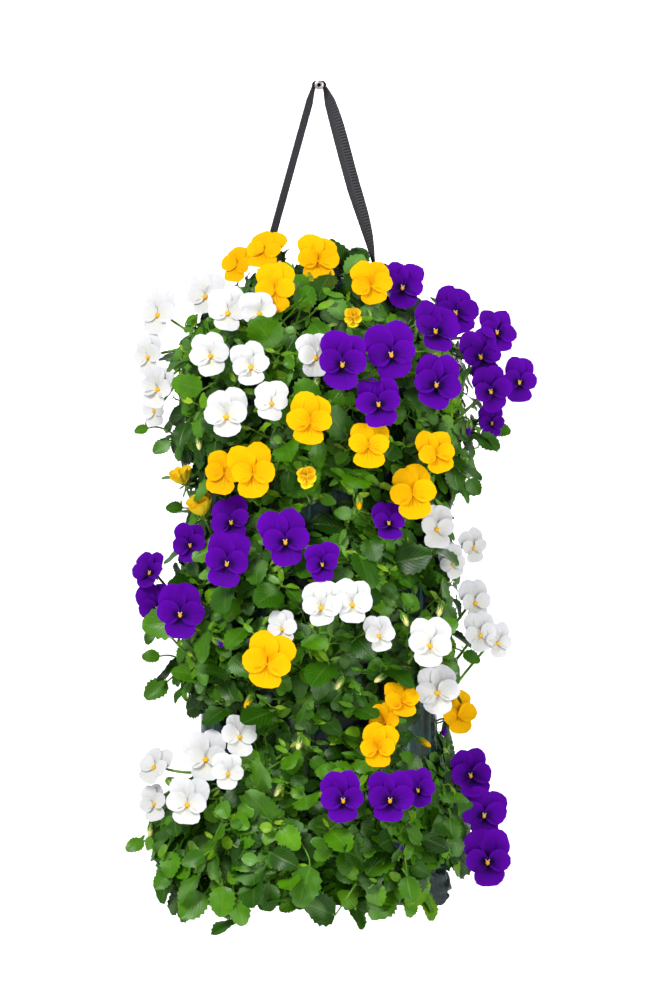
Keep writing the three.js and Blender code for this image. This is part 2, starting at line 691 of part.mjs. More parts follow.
const rows = 17;
const columns = [-90, -66, -42, -18, 6, 30, 54, 78];
const topRow = -192;
const rowStep = 39.6;
const spread = draws(7);
const targets = [];
for (let r = 0; r < rows; r += 1) {
  for (const column of columns) {
    const level = topRow - rowStep * (r + (spread() - 0.5) * (r ? 0.6 : 0.1));
    const turn = column + (r % 2 ? 11 : 0) + (spread() - 0.5) * 10;
    const [, left, right, front] = rowAt(reach, level);
    const side = Math.sin(degrees(turn));
    const x = side * (side < 0 ? left : right) * 0.86;
    const y = centreY - front * Math.cos(degrees(turn)) * 0.9;
    const bare = rowAt(pouchSections, level)[1] + 24;
    const closeIn = Math.abs(side) > 0.8 && (side < 0 ? left : right) < bare && level < -560;
    if (!closeIn) targets.push(vector(x, Math.min(y, -14), level));
  }
}

for (const target of targets) {
  const cost = (place) => target.distanceTo(place.at) + (target.z < place.at.z - 40 ? 30 : 0);
  const place = places.reduce((best, other) => (cost(other) < cost(best) ? other : best));
  const { node, root, random } = place;
  const light = vector(target.x / 150, (target.y - centreY) / 150, 0.45).normalize();
  const outwards = target.clone().sub(vector(0, centreY, target.z)).normalize();
  const shape = growLeaf(node, place, root, target, outwards, light, random);
  if (shape) keep(node, node, shape);
}

places.forEach((place) => addNode(place.node, fused(place.node), foliage));
sprays.forEach((spray) => {
  const node = `blooms_${spray.name}`;
  addNode(node, fused(node), petals[spray.color]);
});
addNode('film_pouch', pouch, film);
addNode('potting_soil', soil, peat);

export default planter;
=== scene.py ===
import math
from functools import partial

import bpy
import numpy as np
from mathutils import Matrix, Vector, noise
from numpy.linalg import norm


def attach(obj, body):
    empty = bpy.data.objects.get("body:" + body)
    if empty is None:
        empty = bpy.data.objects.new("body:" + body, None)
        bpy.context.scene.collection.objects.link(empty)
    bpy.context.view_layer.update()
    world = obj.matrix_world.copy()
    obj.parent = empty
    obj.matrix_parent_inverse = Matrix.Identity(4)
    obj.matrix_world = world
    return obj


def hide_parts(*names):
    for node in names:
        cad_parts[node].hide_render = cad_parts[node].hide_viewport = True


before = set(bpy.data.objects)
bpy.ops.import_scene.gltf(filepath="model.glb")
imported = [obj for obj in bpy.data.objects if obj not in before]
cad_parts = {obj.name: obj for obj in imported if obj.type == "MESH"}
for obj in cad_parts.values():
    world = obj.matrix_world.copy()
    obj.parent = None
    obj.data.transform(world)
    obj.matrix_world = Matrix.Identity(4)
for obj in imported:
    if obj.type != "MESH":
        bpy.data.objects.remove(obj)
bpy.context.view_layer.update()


def new_object(name, data):
    """An object that is in the scene."""
    made = bpy.data.objects.new(name, data)
    bpy.context.collection.objects.link(made)
    return made


# ---- Camera ----
# Level with the planter and straight in front of it, as in the photograph, and so far away
# that near and far blooms keep one scale. At the blooms the picture is a metre high.
distance = 24.0
camera = new_object("camera", bpy.data.cameras.new("camera"))
camera.data.sensor_width = 36
camera.data.lens = 36 * distance
camera.location = (0.014, -0.13 - distance, -0.417)
camera.rotation_euler = (math.pi / 2, 0, 0)
bpy.context.scene.camera = camera

# ---- Film pouch ----
# A tube of dark green blown polyethylene film, welded flat across its foot and drawn in at
# its mouth. The soil presses it into a fat cushion, with upright creases and round planting
# holes in its front and sides. Here the film is 0.9 mm thick; a real one is 0.2 mm.
centre_y = -34
back_plane = 10
rim_level = -186
foot_level = -824
roundness = 0.82
# Level, half the width, and the depths before and behind the middle, in millimetres.
pouch_rows = np.array([
    (-186, 53, 50, 32), (-212, 78, 63, 42), (-238, 102, 74, 52), (-300, 116, 82, 54),
    (-610, 118, 86, 54), (-720, 122, 84, 54), (-780, 128, 64, 52), (-808, 134, 32, 28),
    (-817, 132, 16, 15), (-824, 124, 2, 2),
])
# Level, and where the holes are round the pouch, in degrees from its front.
hole_rows = [
    (-268, (-84, -30, 30, 84)), (-372, (-60, 0, 60)), (-480, (-84, -30, 30, 84)),
    (-590, (-60, 0, 60)), (-700, (-84, -30, 30, 84)),
]
hole_radius = 17
hole_reach = 40
film_thickness = 0.9


def linear(code):
    """An sRGB hex colour as the linear colour that a shader takes."""
    parts = [int(code[i : i + 2], 16) / 255 for i in (1, 3, 5)]
    return (*(p / 12.92 if p <= 0.04045 else ((p + 0.055) / 1.055) ** 2.4 for p in parts), 1)


def fill(material, node, sockets):
    """Gives each input of a node its number, its hex colour or the output that feeds it."""
    for key, value in sockets.items() if isinstance(sockets, dict) else enumerate(sockets):
        if isinstance(value, bpy.types.NodeSocket):
            material.node_tree.links.new(value, node.inputs[key])
        else:
            node.inputs[key].default_value = linear(value) if isinstance(value, str) else value


def finish(material, sockets):
    """Fills the inputs of a material's shader."""
    fill(material, material.node_tree.nodes["Principled BSDF"], sockets)


def add_node(material, kind, sockets=(), stops=(), out=0, **settings):
    """Adds a node and gives one output of it. Inputs come by name or in the node's order: a Map
    Range takes a value, its lowest and highest, and what these become."""
    made = material.node_tree.nodes.new("ShaderNode" + kind)
    for key, value in settings.items():
        setattr(made, key, value)
    fill(material, made, sockets)
    for i, (position, code) in enumerate(stops):
        points = made.color_ramp.elements
        point = points[i] if i < 2 else points.new(position)
        point.position = position
        point.color = linear(code)
    return made.outputs[out]


def new_material(name):
    """Starts a material, and gives with it the function that adds nodes to it."""
    material = bpy.data.materials.new(name)
    material.use_nodes = True
    return material, partial(add_node, material)


def rows_at(table, level):
    """The columns of a table at one level or at many, blended between its rows."""
    return [np.interp(-np.asarray(level), -table[:, 0], table[:, i]) for i in (1, 2, 3)]


def pouch_point(level, around, inset=0.0):
    """A point of the film: -90 degrees is the left side, 0 the front and 90 the right."""
    half, front, back = rows_at(pouch_rows, level)
    side, ahead = np.sin(np.radians(around)), np.cos(np.radians(around))
    x = np.sign(side) * (half - inset) * np.abs(side) ** roundness
    depth = np.where(ahead > 0, front, back) - min(inset, 6)
    y = centre_y - np.sign(ahead) * depth * np.abs(ahead) ** roundness
    return np.stack([x, np.minimum(y, back_plane - inset), level + 0 * x], axis=-1)


def outward(level, around):
    """The direction straight out of the film."""
    step = 3
    across = pouch_point(level, around + step) - pouch_point(level, around - step)
    upward = pouch_point(level + step, around) - pouch_point(level - step, around)
    out = np.cross(across, upward)
    return out / norm(out)


def grid_faces(rows, columns, closed=False):
    """Quads over a grid of points, which runs on round its columns where it is closed."""
    wide = columns if closed else columns - 1
    i, j = np.meshgrid(np.arange(rows - 1), np.arange(wide), indexing="ij")
    k = (j + 1) % columns
    corners = [i * columns + j, i * columns + k, (i + 1) * columns + k, (i + 1) * columns + j]
    return np.stack(corners, axis=-1).reshape(-1, 4)


def build(name, points, faces, materials, marks=(), kinds=None, crisp=False):
    """A mesh object from points in millimetres; marks are named values kept at its points."""
    mesh = bpy.data.meshes.new(name)
    mesh.from_pydata((np.asarray(points) / 1000).tolist(), [], faces)
    for mark, values in dict(marks).items():
        layer = mesh.attributes.new(mark, "FLOAT_VECTOR", "POINT")
        layer.data.foreach_set("vector", np.asarray(values, dtype=np.float32).ravel())
    for material in materials:
        mesh.materials.append(material)
    if kinds is not None:
        mesh.polygons.foreach_set("material_index", np.asarray(kinds, dtype=np.int32))
    if not crisp:
        mesh.shade_smooth()
    mesh.update()
    return new_object(name, mesh)


def settle(piece, node):
    """Fixes a piece to the planter in the place of its solid."""
    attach(piece, "root")
    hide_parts(node)


film_levels = np.arange(rim_level, foot_level - 0.1, -2.75)
film_turns = np.arange(0, 360, 1.9)
film = pouch_point(film_levels[:, None], film_turns[None, :])
for _ in range(3):
    film[1:-1] = (film[:-2] + 2 * film[1:-1] + film[2:]) / 4
flat = film.reshape(-1, 3)
radial = flat * (1, 1, 0) - (0, centre_y, 0)
radial /= np.maximum(norm(radial, axis=1, keepdims=True), 1)


def creases(points, scale, height):
    """How deep a fold lies at each point; folds are `scale` mm apart, `height` times as long."""
    folds = []
    for x, y, z in points:
        value = noise.noise(Vector((x / scale, y / scale, z / scale / height)))
        folds.append((1 - min(1, abs(value) * 3.2)) ** 2)
    return np.array(folds)


near_mouth = np.clip((flat[:, 2] + 262) / 60, 0, 1)
near_foot = np.clip((-752 - flat[:, 2]) / 40, 0, 1) * np.clip((flat[:, 2] - foot_level) / 9, 0, 1)
gathers = np.sin(np.tile(np.radians(film_turns) * 26, len(film_levels)))
depth = 2.4 * creases(flat, 34, 5) + 1.1 * creases(flat + 90, 13, 7)
depth += near_mouth * 3.5 * (0.5 + 0.5 * gathers)
depth += near_foot * (5 * creases(flat * (0.5, 1, 1), 20, 0.5) + 2 * creases(flat - 50, 9, 1))
flat = flat - radial * depth[:, None] * (1 - 0.7 * (flat[:, 1:2] > 5))

holes = [(pouch_point(level, turn), outward(level, turn))
         for level, turns in hole_rows for turn in turns]
film_quads = grid_faces(len(film_levels), len(film_turns), closed=True)
kept = np.ones(len(film_quads), dtype=bool)
# Each hole also brings back what is far from it along its axis, holes before it included, so
# only the last ones of the list, low at the right, stay open. Leaves cover the closed ones.
for at, out in holes:
    middles = flat[film_quads].mean(axis=1) - at
    kept &= norm(middles - (middles @ out)[:, None] * out, axis=1) > hole_radius
    kept |= np.abs(middles @ out) > hole_reach
film_quads = film_quads[kept]
uses = np.bincount(film_quads.ravel(), minlength=len(flat))
for at, out in holes:
    offset = flat - at
    level_part = (offset @ out)[:, None] * out
    ring = offset - level_part
    size = norm(ring, axis=1)
    near = np.abs(offset @ out) < hole_reach
    edge = (uses > 0) & (uses < 4) & (size < hole_radius + 5) & near
    flat[edge] = (at + level_part + ring * (hole_radius / np.maximum(size, 1))[:, None])[edge]
    lip = 2.2 * np.exp(-(((size - hole_radius) / 4) ** 2)) * near
    flat = flat + lip[:, None] * out

# Blown polyethylene film: smooth and glossy, with long streaks of painted shade that make it
# near black in its folds, painted long pale glints where it is stretched, and a little dried
# soil that dulls it.
film_finish, add = new_material("blown_polyethylene_film")
where = add("TexCoord", out="Object")
upright = add("Mapping", {"Vector": where, "Scale": (1, 1, 0.09)})
glint_and_shade_streaks = add("TexNoise", {"Vector": upright, "Scale": 95, "Detail": 5, "Distortion": 0.6})
# Painted shade and painted glints in long upright streaks, round the film's own dark green.
painted_glints_and_fold_shade = add("ValToRGB", [glint_and_shade_streaks], [
    (0.32, "#0B1916"), (0.5, "#1C3733"), (0.62, "#30524F"), (0.74, "#6A8D8A")])
dust = add("TexNoise", {"Vector": where, "Scale": 14, "Detail": 8})
dusty = add("MapRange", [dust, 0.55, 0.8, 0, 0.35])
coloured = add("MixRGB", [dusty, painted_glints_and_fold_shade, "#6B6A55"])
# Painted shade: the film darkens towards its foot.
height = add("SeparateXYZ", [where], out="Z")
painted_foot_shade = add("MapRange", [height, -0.77, -0.8, 0, 0.8])
coloured = add("MixRGB", [painted_foot_shade, coloured, "#0C1B18"])
wrinkles = add("TexNoise", {"Vector": upright, "Scale": 210, "Detail": 3, "Distortion": 1.2})
relief = add("Bump", {"Height": wrinkles, "Strength": 0.5, "Distance": 0.0006})
finish(film_finish, {"Base Color": coloured, "Roughness": 0.2, "IOR": 1.51,
                     "Specular IOR Level": 0.4, "Normal": relief})

pouch = build("pouch_film", flat, film_quads[:, ::-1].tolist(), [film_finish])
thickness = pouch.modifiers.new("thickness", "SOLIDIFY")
thickness.thickness = film_thickness / 1000
thickness.offset = -1
bpy.context.view_layer.objects.active = pouch
pouch.select_set(True)
bpy.ops.object.modifier_apply(modifier="thickness")
settle(pouch, "film_pouch")

# ---- Potting soil ----
# Damp peat and bark, which fills the pouch and shows in its mouth and planting holes as
# crumbs and short fibres. It is heaped a little in the middle of the mouth.
soil_inset = 3.4
soil_top = -213
soil_levels = (-806, -770, -720, -660, -610, -500, -400, -300, -262, -238, -222, soil_top)
soil_turns = np.arange(0, 360, 5)
soil_rings = [pouch_point(level, soil_turns, soil_inset) for level in soil_levels]
mouth = soil_rings[-1]
middle = np.array((0, centre_y, soil_top))
for share in (0.86, 0.72, 0.58, 0.44, 0.3, 0.16, 0.04):
    ring = middle + (mouth - middle) * share
    ring[:, 2] += 8 * (1 - share**2)
    ring += [[0, 0, 5 * noise.noise(Vector(p) / 9) + 2 * noise.noise(Vector(p) / 3)] for p in ring]
    soil_rings.append(ring)


def closed_faces(rows, columns):
    """The faces of a body whose rows of points each run round it, with a cap at both ends."""
    faces = grid_faces(rows, columns, closed=True).tolist()
    return faces + [list(range(columns))[::-1], list(range(columns * (rows - 1), columns * rows))]


# Peat and bark: matt and uneven, with pale fibres, in crumbs of about 3 mm.
peat, add = new_material("damp_peat_and_bark")
where = add("TexCoord", out="Object")
crumbs = add("TexVoronoi", {"Vector": where, "Scale": 330})
shade = add("TexNoise", {"Vector": where, "Scale": 160, "Detail": 9})
coloured = add("ValToRGB", [shade], [
    (0.3, "#140E0A"), (0.52, "#34251A"), (0.68, "#5B4431"), (0.8, "#8A7358")])
relief = add("Bump", {"Height": crumbs, "Strength": 1, "Distance": 0.002})
finish(peat, {"Base Color": coloured, "Roughness": 0.93, "Specular IOR Level": 0.3,
              "Normal": relief})

soil_faces = closed_faces(len(soil_rings), len(soil_turns))
soil = build("soil_filling", np.concatenate(soil_rings), soil_faces, [peat])
settle(soil, "potting_soil")

# ---- Hanging screw ----
# A plain steel screw that is driven into the wall: a domed round head with a six-sided
# socket, and a shank with a coarse rolled thread. The strap's bend lies on the shank.
shank = 2.5
head_front = -17
thread_start = 8
thread_pitch = 2.2
tip_start = 30
screw_sides = 48
socket = 1.9
profile = [(0.2, -0.9), (1.8, -0.9), (socket, -1.2), (socket, -2.9), (2.2, -3.0), (3.4, -2.85),
           (4.3, -2.45), (4.7, -1.9), (4.8, -1.4), (4.7, -1.05), (4.4, -0.95), (2.6, 0.1)]
profile = [(r, head_front + 3 + y) for r, y in profile]
profile += [(shank, y) for y in np.arange(-13, thread_start, 3)]
profile += [(shank, y) for y in np.arange(thread_start, tip_start, 0.36)]
profile += [(shank * (1 - (y - tip_start) / 8.4), y) for y in np.arange(tip_start, 38, 0.36)]
screw_points = []
for r, y in profile:
    for side in range(screw_sides):
        turn = 2 * math.pi * side / screw_sides
        radius = r
        if r <= socket:
            radius = r * 0.93 / math.cos((turn + math.pi / 6) % (math.pi / 3) - math.pi / 6)
        if y >= thread_start:
            phase = (y / thread_pitch + side / screw_sides) % 1
            radius = r * (0.74 + 0.26 * max(0, 1 - abs(phase - 0.5) * 3.4))
        screw_points.append((radius * math.cos(turn), y, radius * math.sin(turn)))


def marks_of(add, mark):
    """The three values that the points of a mesh keep under a mark."""
    place = add("Attribute", out="Vector", attribute_name=mark)
    return add("SeparateXYZ", [place]).node.outputs


# Plain steel, cold-formed and tumbled: bright, faintly warm, with fine scratches. Its socket
# is dark, partly with grease and rust and partly with painted shade in the recess.
steel, add = new_material("tumbled_plain_steel")
where = add("TexCoord", out="Object")
scratches = add("TexNoise", {"Vector": where, "Scale": 2600, "Detail": 3})
coloured = add("ValToRGB", [scratches], [(0.3, "#8C7F7A"), (0.7, "#D9CFCB")])
worn = add("MapRange", [scratches, 0, 1, 0.25, 0.48])
# The socket's dark colour: grease and rust, and painted shade.
grime_and_painted_shade = add("MixRGB", [marks_of(add, "recess")[0], coloured, "#1E1513"])
finish(steel, {"Base Color": grime_and_painted_shade, "Metallic": 1, "Roughness": worn})

recesses = [(r <= socket and y < head_front + 2.2, 0, 0)
            for r, y in profile for _ in range(screw_sides)]
screw_faces = [one[::-1] for one in closed_faces(len(profile), screw_sides)]
screw = build("wall_screw", screw_points, screw_faces, [steel], {"recess": recesses}, crisp=True)
settle(screw, "hanging_screw")

# ---- Webbing strap ----
# One length of 20 mm polypropylene webbing, woven in fine ribs. It goes from the left seam
# over the screw's shank, which carries its rear edge, and down to the right seam. Its right
# leg is twisted and its front part folded over on the way. Each end is sewn to the film.
strap_width = 20
strap_thickness = 1.8
clearance = 0.4
strap_y = -2.5
top_turn = -9.5
rib = 3.0
crease_at = -2
crease_width = 2.6


def unit(v):
    """A direction, or many, at a length of 1."""
    v = np.asarray(v, dtype=float)
    return v / np.maximum(norm(v, axis=-1, keepdims=True), 1e-9)


def on_film(side, level):
    """Where the middle of the webbing lies on a seam of the pouch."""
    out = outward(level, side * 90)
    return pouch_point(level, side * 90) + out * (clearance + strap_thickness / 2)


def bend(turn):
    """How far the middle of the webbing is from the screw's axis, at a turn of its width."""
    return shank + clearance + strap_thickness / 2 - strap_width / 2 * np.sin(np.radians(turn))


def strap_leg(side, turn, swell, fold, release, steps=150):
    """Points down one leg from the top, with the turn and the fold of its width at each."""
    top, foot = np.array((side * bend(top_turn), strap_y, -2)), on_film(side, rim_level - 3)
    share = np.linspace(0, 1, steps)
    points = top + (foot - top) * share[:, None]
    bow = np.sin(math.pi * share)
    held = np.minimum(1, (1 - share) / release)
    turn = top_turn + (turn - top_turn) * np.minimum(1, share / 0.08)
    tab = [on_film(side, level) for level in np.arange(rim_level - 5, rim_level - 20.1, -1.5)]
    turns = np.append((turn + swell * bow) * held, np.zeros(len(tab)))
    return np.vstack([points, tab]), turns, np.append(fold * bow, np.zeros(len(tab)))


left, left_turns, left_folds = strap_leg(-1, -21, 0, 0, 0.1)
right, right_turns, right_folds = strap_leg(1, -23, -10, -84, 0.45)
arc = np.radians(np.linspace(165, 15, 12))
arc_turns = top_turn * np.cos(arc) ** 2
over = np.stack([np.cos(arc), 0 * arc, np.sin(arc)], axis=-1) * bend(arc_turns)[:, None]
over = over + (0, strap_y, 0)
line = np.vstack([left[::-1], over, right])
turns = np.radians(np.concatenate([left_turns[::-1], arc_turns, right_turns]))
folds = np.radians(np.concatenate([left_folds[::-1], 0 * arc, right_folds]))
along = unit(np.gradient(line, axis=0))
wide = np.array((0, 1, 0)) * np.cos(turns)[:, None]
wide = unit(wide + np.cross(along, (0, 1, 0)) * np.sin(turns)[:, None])
wide = unit(wide - along * (wide * along).sum(axis=1, keepdims=True))
thick = np.cross(along, wide)
run = np.append(0, np.cumsum(norm(np.diff(line, axis=0), axis=1)))
across = np.linspace(1, -1, 33) * (strap_width / 2 - 0.1)
folded = np.clip((crease_at + crease_width / 2 - across) / crease_width, 0, 1)[None, :, None]
angle = folds[:, None, None] * folded
course = wide[:, None, :] * np.cos(angle) + thick[:, None, :] * np.sin(angle)
normal = thick[:, None, :] * np.cos(angle) - wide[:, None, :] * np.sin(angle)
step = (course[:, 1:] + course[:, :-1]) / 2 * np.diff(across)[None, :, None]
middle = line[:, None, :] + wide[:, None, :] * across[0]
middle = np.concatenate([middle, middle + np.cumsum(step, axis=1)], axis=1)
share = across / (strap_width / 2)
level_out = (strap_thickness / 2 - 0.28) + 0.12 * np.cos(2 * math.pi * share * 5)[None, :]
level_out = level_out + 0.16 * np.sin(2 * math.pi * run[:, None] / rib)
level_out = (level_out * (1 - 0.75 * np.abs(share) ** 14))[:, :, None] * normal
strap_points = np.concatenate([middle - level_out, (middle + level_out)[:, ::-1]], axis=1)
reach_out = np.concatenate([across, across[::-1]])
strap_marks = np.zeros(strap_points.shape)
strap_marks[:, :, 0] = run[:, None]
strap_marks[:, :, 1] = reach_out
strap_marks[:, :, 2] = (reach_out < crease_at)[None, :] * np.minimum(1, np.abs(folds[:, None]))
strap_faces = closed_faces(len(line), len(reach_out))

# Woven polypropylene: charcoal and matt. Its ribs are 3 mm apart, coarser than real ones, and
# open up where the webbing is folded over; the dark between them is painted shade.
webbing, add = new_material("woven_polypropylene_webbing")
place = add("Attribute", out="Vector", attribute_name="weave")
parts = add("SeparateXYZ", [place]).node.outputs
beats = add("Math", [parts[0], 2 * math.pi / rib], operation="MULTIPLY")
ribs = add("Math", [beats], operation="SINE")
threads = add("TexNoise", {"Vector": place, "Scale": 1.6, "Detail": 2})
cloth = add("ValToRGB", [threads], [(0.3, "#353537"), (0.7, "#525155")])
# Painted shade between the ribs, strongest on the folded part.
painted_rib_shade = add("MapRange", [ribs, 0.5, -0.6, 0, 0.66])
fold_shade_share = add("MapRange", [parts[2], 0, 1, 0.1])
depth = add("Math", [painted_rib_shade, fold_shade_share], operation="MULTIPLY")
coloured = add("MixRGB", [depth, cloth, "#0C0B0C"])
relief = add("Bump", {"Height": ribs, "Strength": 0.5, "Distance": 0.0004})
finish(webbing, {"Base Color": coloured, "Roughness": 0.9, "Specular IOR Level": 0.12,
                 "Normal": relief})

strap = build("strap_webbing", strap_points.reshape(-1, 3), strap_faces, [webbing],
              {"weave": strap_marks.reshape(-1, 3)})
settle(strap, "webbing_strap")

# ---- Blooms ----
# Small-flowered pansies, each on its own long stalk from the root of its plant. A bloom has
# five velvety petals: two large ones behind, a lower one before them and two side ones over
# its edges, round a small bearded throat. Behind are five pointed sepals and a short spur.

# How far the foliage reaches: level, then left, right and forward from the pouch's middle.
reach = np.array([
    (-150, 60, 60, 20), (-195, 84, 84, 80), (-225, 140, 130, 122), (-300, 166, 172, 150),
    (-370, 150, 172, 148), (-425, 132, 140, 128), (-480, 150, 136, 140), (-560, 162, 150, 150),
    (-600, 150, 140, 140), (-640, 116, 128, 122), (-700, 152, 148, 146), (-780, 176, 154, 150),
    (-840, 132, 122, 120),
])
# Each bloom: x, level, width, yaw (towards +X), pitch (upwards), and how far it stands back.
sprays = [
    ("yellow_top_left", [(-82, -179, 38, -30, 20, 0), (-54, -164, 44, -20, 35, 0),
        (-44, -204, 48, 0, 10, 22)]),
    ("yellow_top", [(-1, -174, 48, 10, 20, 4), (51, -199, 46, 10, 10, 14),
        (34, -232, 18, 0, 0, 8)]),
    ("white_shoulder", [(-114, -209, 42, -15, 20, 2), (-91, -226, 42, -5, 10, 14),
        (-60, -227, 38, 5, 10, 6)]),
    ("white_far_left", [(-161, -227, 42, -35, 10, 0), (-172, -270, 36, -40, 0, 0),
        (-161, -302, 40, -30, 0, 8), (-166, -324, 32, -40, -10, 0)]),
    ("white_upper_left", [(-109, -269, 40, -10, 5, 14), (-69, -280, 42, 0, 5, 10),
        (-93, -329, 46, -5, 5, 12), (-47, -317, 36, 5, 10, 6), (-3, -271, 38, 10, 0, 0)]),
    ("purple_top", [(84, -200, 44, 10, 10, 30), (24, -277, 50, -5, 5, 18),
        (71, -267, 50, 5, 10, 14), (59, -317, 44, 0, 0, 14)]),
    ("purple_upper_right", [(116, -244, 48, 25, 20, 18), (136, -225, 44, 20, 15, 14),
        (118, -297, 48, 10, 0, 20), (161, -269, 44, 20, 5, 24), (178, -245, 40, 30, 15, 10)]),
    ("purple_far_right", [(171, -304, 42, 25, 0, 20), (201, -295, 38, 25, 0, 6),
        (173, -337, 28, 20, -10, 6)]),
    ("yellow_centre", [(-9, -336, 50, 0, 5, 14), (49, -360, 46, 5, 15, 10),
        (-13, -391, 20, 0, 0, 10)]),
    ("yellow_right", [(116, -368, 44, 15, 10, 14), (93, -407, 50, 5, 0, 14)]),
    ("yellow_left", [(-94, -387, 44, -15, 10, 8), (-67, -387, 50, 0, 5, 14),
        (-135, -397, 24, -30, 0, 4), (-116, -428, 28, -25, 0, 16)]),
    ("purple_left", [(-88, -436, 40, -15, 15, 4), (-129, -459, 34, -20, 0, 6),
        (-91, -476, 46, -15, 0, 14)]),
    ("purple_far_left", [(-169, -487, 36, -35, 20, 0), (-162, -522, 42, -20, 0, 4),
        (-139, -527, 46, -5, 0, 14)]),
    ("purple_centre", [(-34, -454, 48, 0, 0, 14), (3, -478, 34, 0, 0, 12),
        (69, -437, 36, 20, 20, 2)]),
    ("white_centre", [(2, -520, 42, 0, 5, 12), (33, -517, 42, 5, 5, 15), (59, -549, 36, 25, 0, 10),
        (-37, -543, 32, -10, 10, 0)]),
    ("white_right", [(118, -442, 38, 20, 0, 12), (154, -462, 32, 35, 0, 4),
        (133, -478, 30, 30, 0, 10)]),
    ("white_far_right", [(156, -517, 36, 25, 0, 4), (161, -549, 36, 20, 0, 12),
        (179, -557, 34, 35, 0, 2)]),
    ("white_lower_right", [(111, -558, 44, 10, 5, 14), (118, -605, 46, 5, 0, 16)]),
    ("yellow_lower_left", [(-51, -576, 54, 0, 5, 20)]),
    ("yellow_lower_right", [(81, -615, 40, 20, 20, 14), (66, -636, 36, -10, 10, 12),
        (59, -662, 42, 0, 0, 10), (138, -629, 42, 25, 0, 14)]),
    ("white_lower_left", [(-114, -672, 46, -10, 10, 16), (-79, -650, 38, 20, 10, 12),
        (-91, -687, 34, 0, 0, 12), (-131, -717, 44, -10, 0, 16)]),
    ("white_far_lower_left", [(-164, -682, 38, -35, 20, 4), (-166, -719, 34, -35, 0, 4)]),
    ("purple_bottom", [(24, -712, 46, -10, 0, 12), (71, -712, 48, 5, 5, 14),
        (98, -704, 34, 20, 10, 6)]),
    ("purple_lower_right", [(151, -689, 44, 20, 5, 8), (166, -729, 44, 15, 0, 10),
        (169, -775, 50, 10, -5, 12)]),
]
# Closed buds, seen from the front: x, level, colour.
buds = [
    (-8, -200, "yellow"), (86, -537, "white"), (61, -595, "white"), (121, -527, "white"),
    (106, -660, "yellow"), (-71, -619, "yellow"), (108, -469, "white"), (-169, -749, "white"),
    (-147, -702, "white"), (-41, -707, "white"), (79, -762, "purple"), (126, -647, "purple"),
    (-3, -300, "white"), (-120, -360, "white"), (150, -345, "purple"), (20, -600, "white"),
    (-100, -560, "purple"), (40, -420, "yellow"), (-20, -660, "white"), (-60, -500, "purple"),
]


def reach_y(x, level):
    """The front of the foliage at a place seen from the front."""
    left, right, front = rows_at(reach, level)
    share = min(1, abs(x) / (left if x < 0 else right))
    return centre_y - front * math.sqrt(1 - share**2)


# The kinds of surface, in the order of a piece's materials.
petal_kind, eye_kind, sepal_kind = 0, 1, 2
leaf_kind, stem_kind = 0, 1


class Growth:
    """Gathers the parts of one piece: points, faces, and what each is and where on it."""

    def __init__(self, green_kind):
        self.points, self.faces, self.marks, self.kinds, self.count = [], [], [], [], 0
        self.green_kind = green_kind

    def take(self, points, faces, marks, kind):
        self.points.append(points)
        self.marks.append(np.broadcast_to(marks, points.shape))
        self.faces += [[i + self.count for i in one] for one in faces]
        self.kinds += [kind] * len(faces)
        self.count += len(points)

    def green(self, points, faces):
        """Takes a stem or another plain green part."""
        self.take(points, faces, (0.5, 0, 0.6), self.green_kind)

    def piece(self, name, materials, mark):
        points = np.concatenate(self.points)
        marks = {mark: np.concatenate(self.marks)}
        made = build(name, points, self.faces, materials, marks, self.kinds)
        made.data.set_sharp_from_angle(angle=math.radians(75))
        return made


def two_faced(rows, columns):
    """Faces of a thin blade: a grid above, one below, and the rim shared by both."""
    upper = np.arange(rows * columns).reshape(rows, columns)
    lower = upper.copy()
    inside = (rows - 2) * (columns - 2)
    lower[1:-1, 1:-1] = rows * columns + np.arange(inside).reshape(rows - 2, columns - 2)
    top = np.stack([upper[:-1, :-1], upper[1:, :-1], upper[1:, 1:], upper[:-1, 1:]], -1)
    bottom = np.stack([lower[:-1, :-1], lower[:-1, 1:], lower[1:, 1:], lower[1:, :-1]], -1)
    return top.reshape(-1, 4).tolist() + bottom.reshape(-1, 4).tolist()


def thin(top, direction, thickness):
    """The points of a thin blade from its upper side, thinned to nothing at its rim."""
    below = top[1:-1, 1:-1] - direction * thickness
    return np.concatenate([top.reshape(-1, 3), below.reshape(-1, 3)])


def thin_marks(marks):
    """The marks of a thin blade's points, from those of its upper side."""
    return np.concatenate([marks.reshape(-1, 3), marks[1:-1, 1:-1].reshape(-1, 3)])


def tube(points, radii, sides=5):
    """A round stem along a row of points, closed at both ends."""
    points = np.asarray(points, dtype=float)
    along = unit(np.gradient(points, axis=0))
    normal = np.array((0.31, 0.22, 0.92))
    rings = []
    for at, direction, radius in zip(points, along, radii):
        normal = unit(normal - direction * (normal @ direction))
        other = np.cross(direction, normal)
        turn = 2 * math.pi * np.arange(sides) / sides
        rings.append(at + radius * (np.cos(turn)[:, None] * normal + np.sin(turn)[:, None] * other))
    return np.concatenate(rings), closed_faces(len(points), sides)


def curve(a, b, c, d, steps):
    """Points along a smooth line from a to d, led by b and c."""
    t = np.linspace(0, 1, steps)[:, None]
    return a * (1 - t) ** 3 + 3 * b * t * (1 - t) ** 2 + 3 * c * t**2 * (1 - t) + d * t**3


def solid_points(name):
    """The corners of a frame node in millimetres and, for each, the corners next to it."""
    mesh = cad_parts[name].data
    corners = np.empty(len(mesh.vertices) * 3)
    mesh.vertices.foreach_get("co", corners)
    corners = np.round(corners.reshape(-1, 3) * 1000, 2)
    corners, same = np.unique(corners, axis=0, return_inverse=True)
    same = same.ravel()
    near = [set() for _ in corners]
    for edge in mesh.edges:
        a, b = (same[i] for i in edge.vertices)
        if a != b:
            near[a].add(b)
            near[b].add(a)
    return corners, near


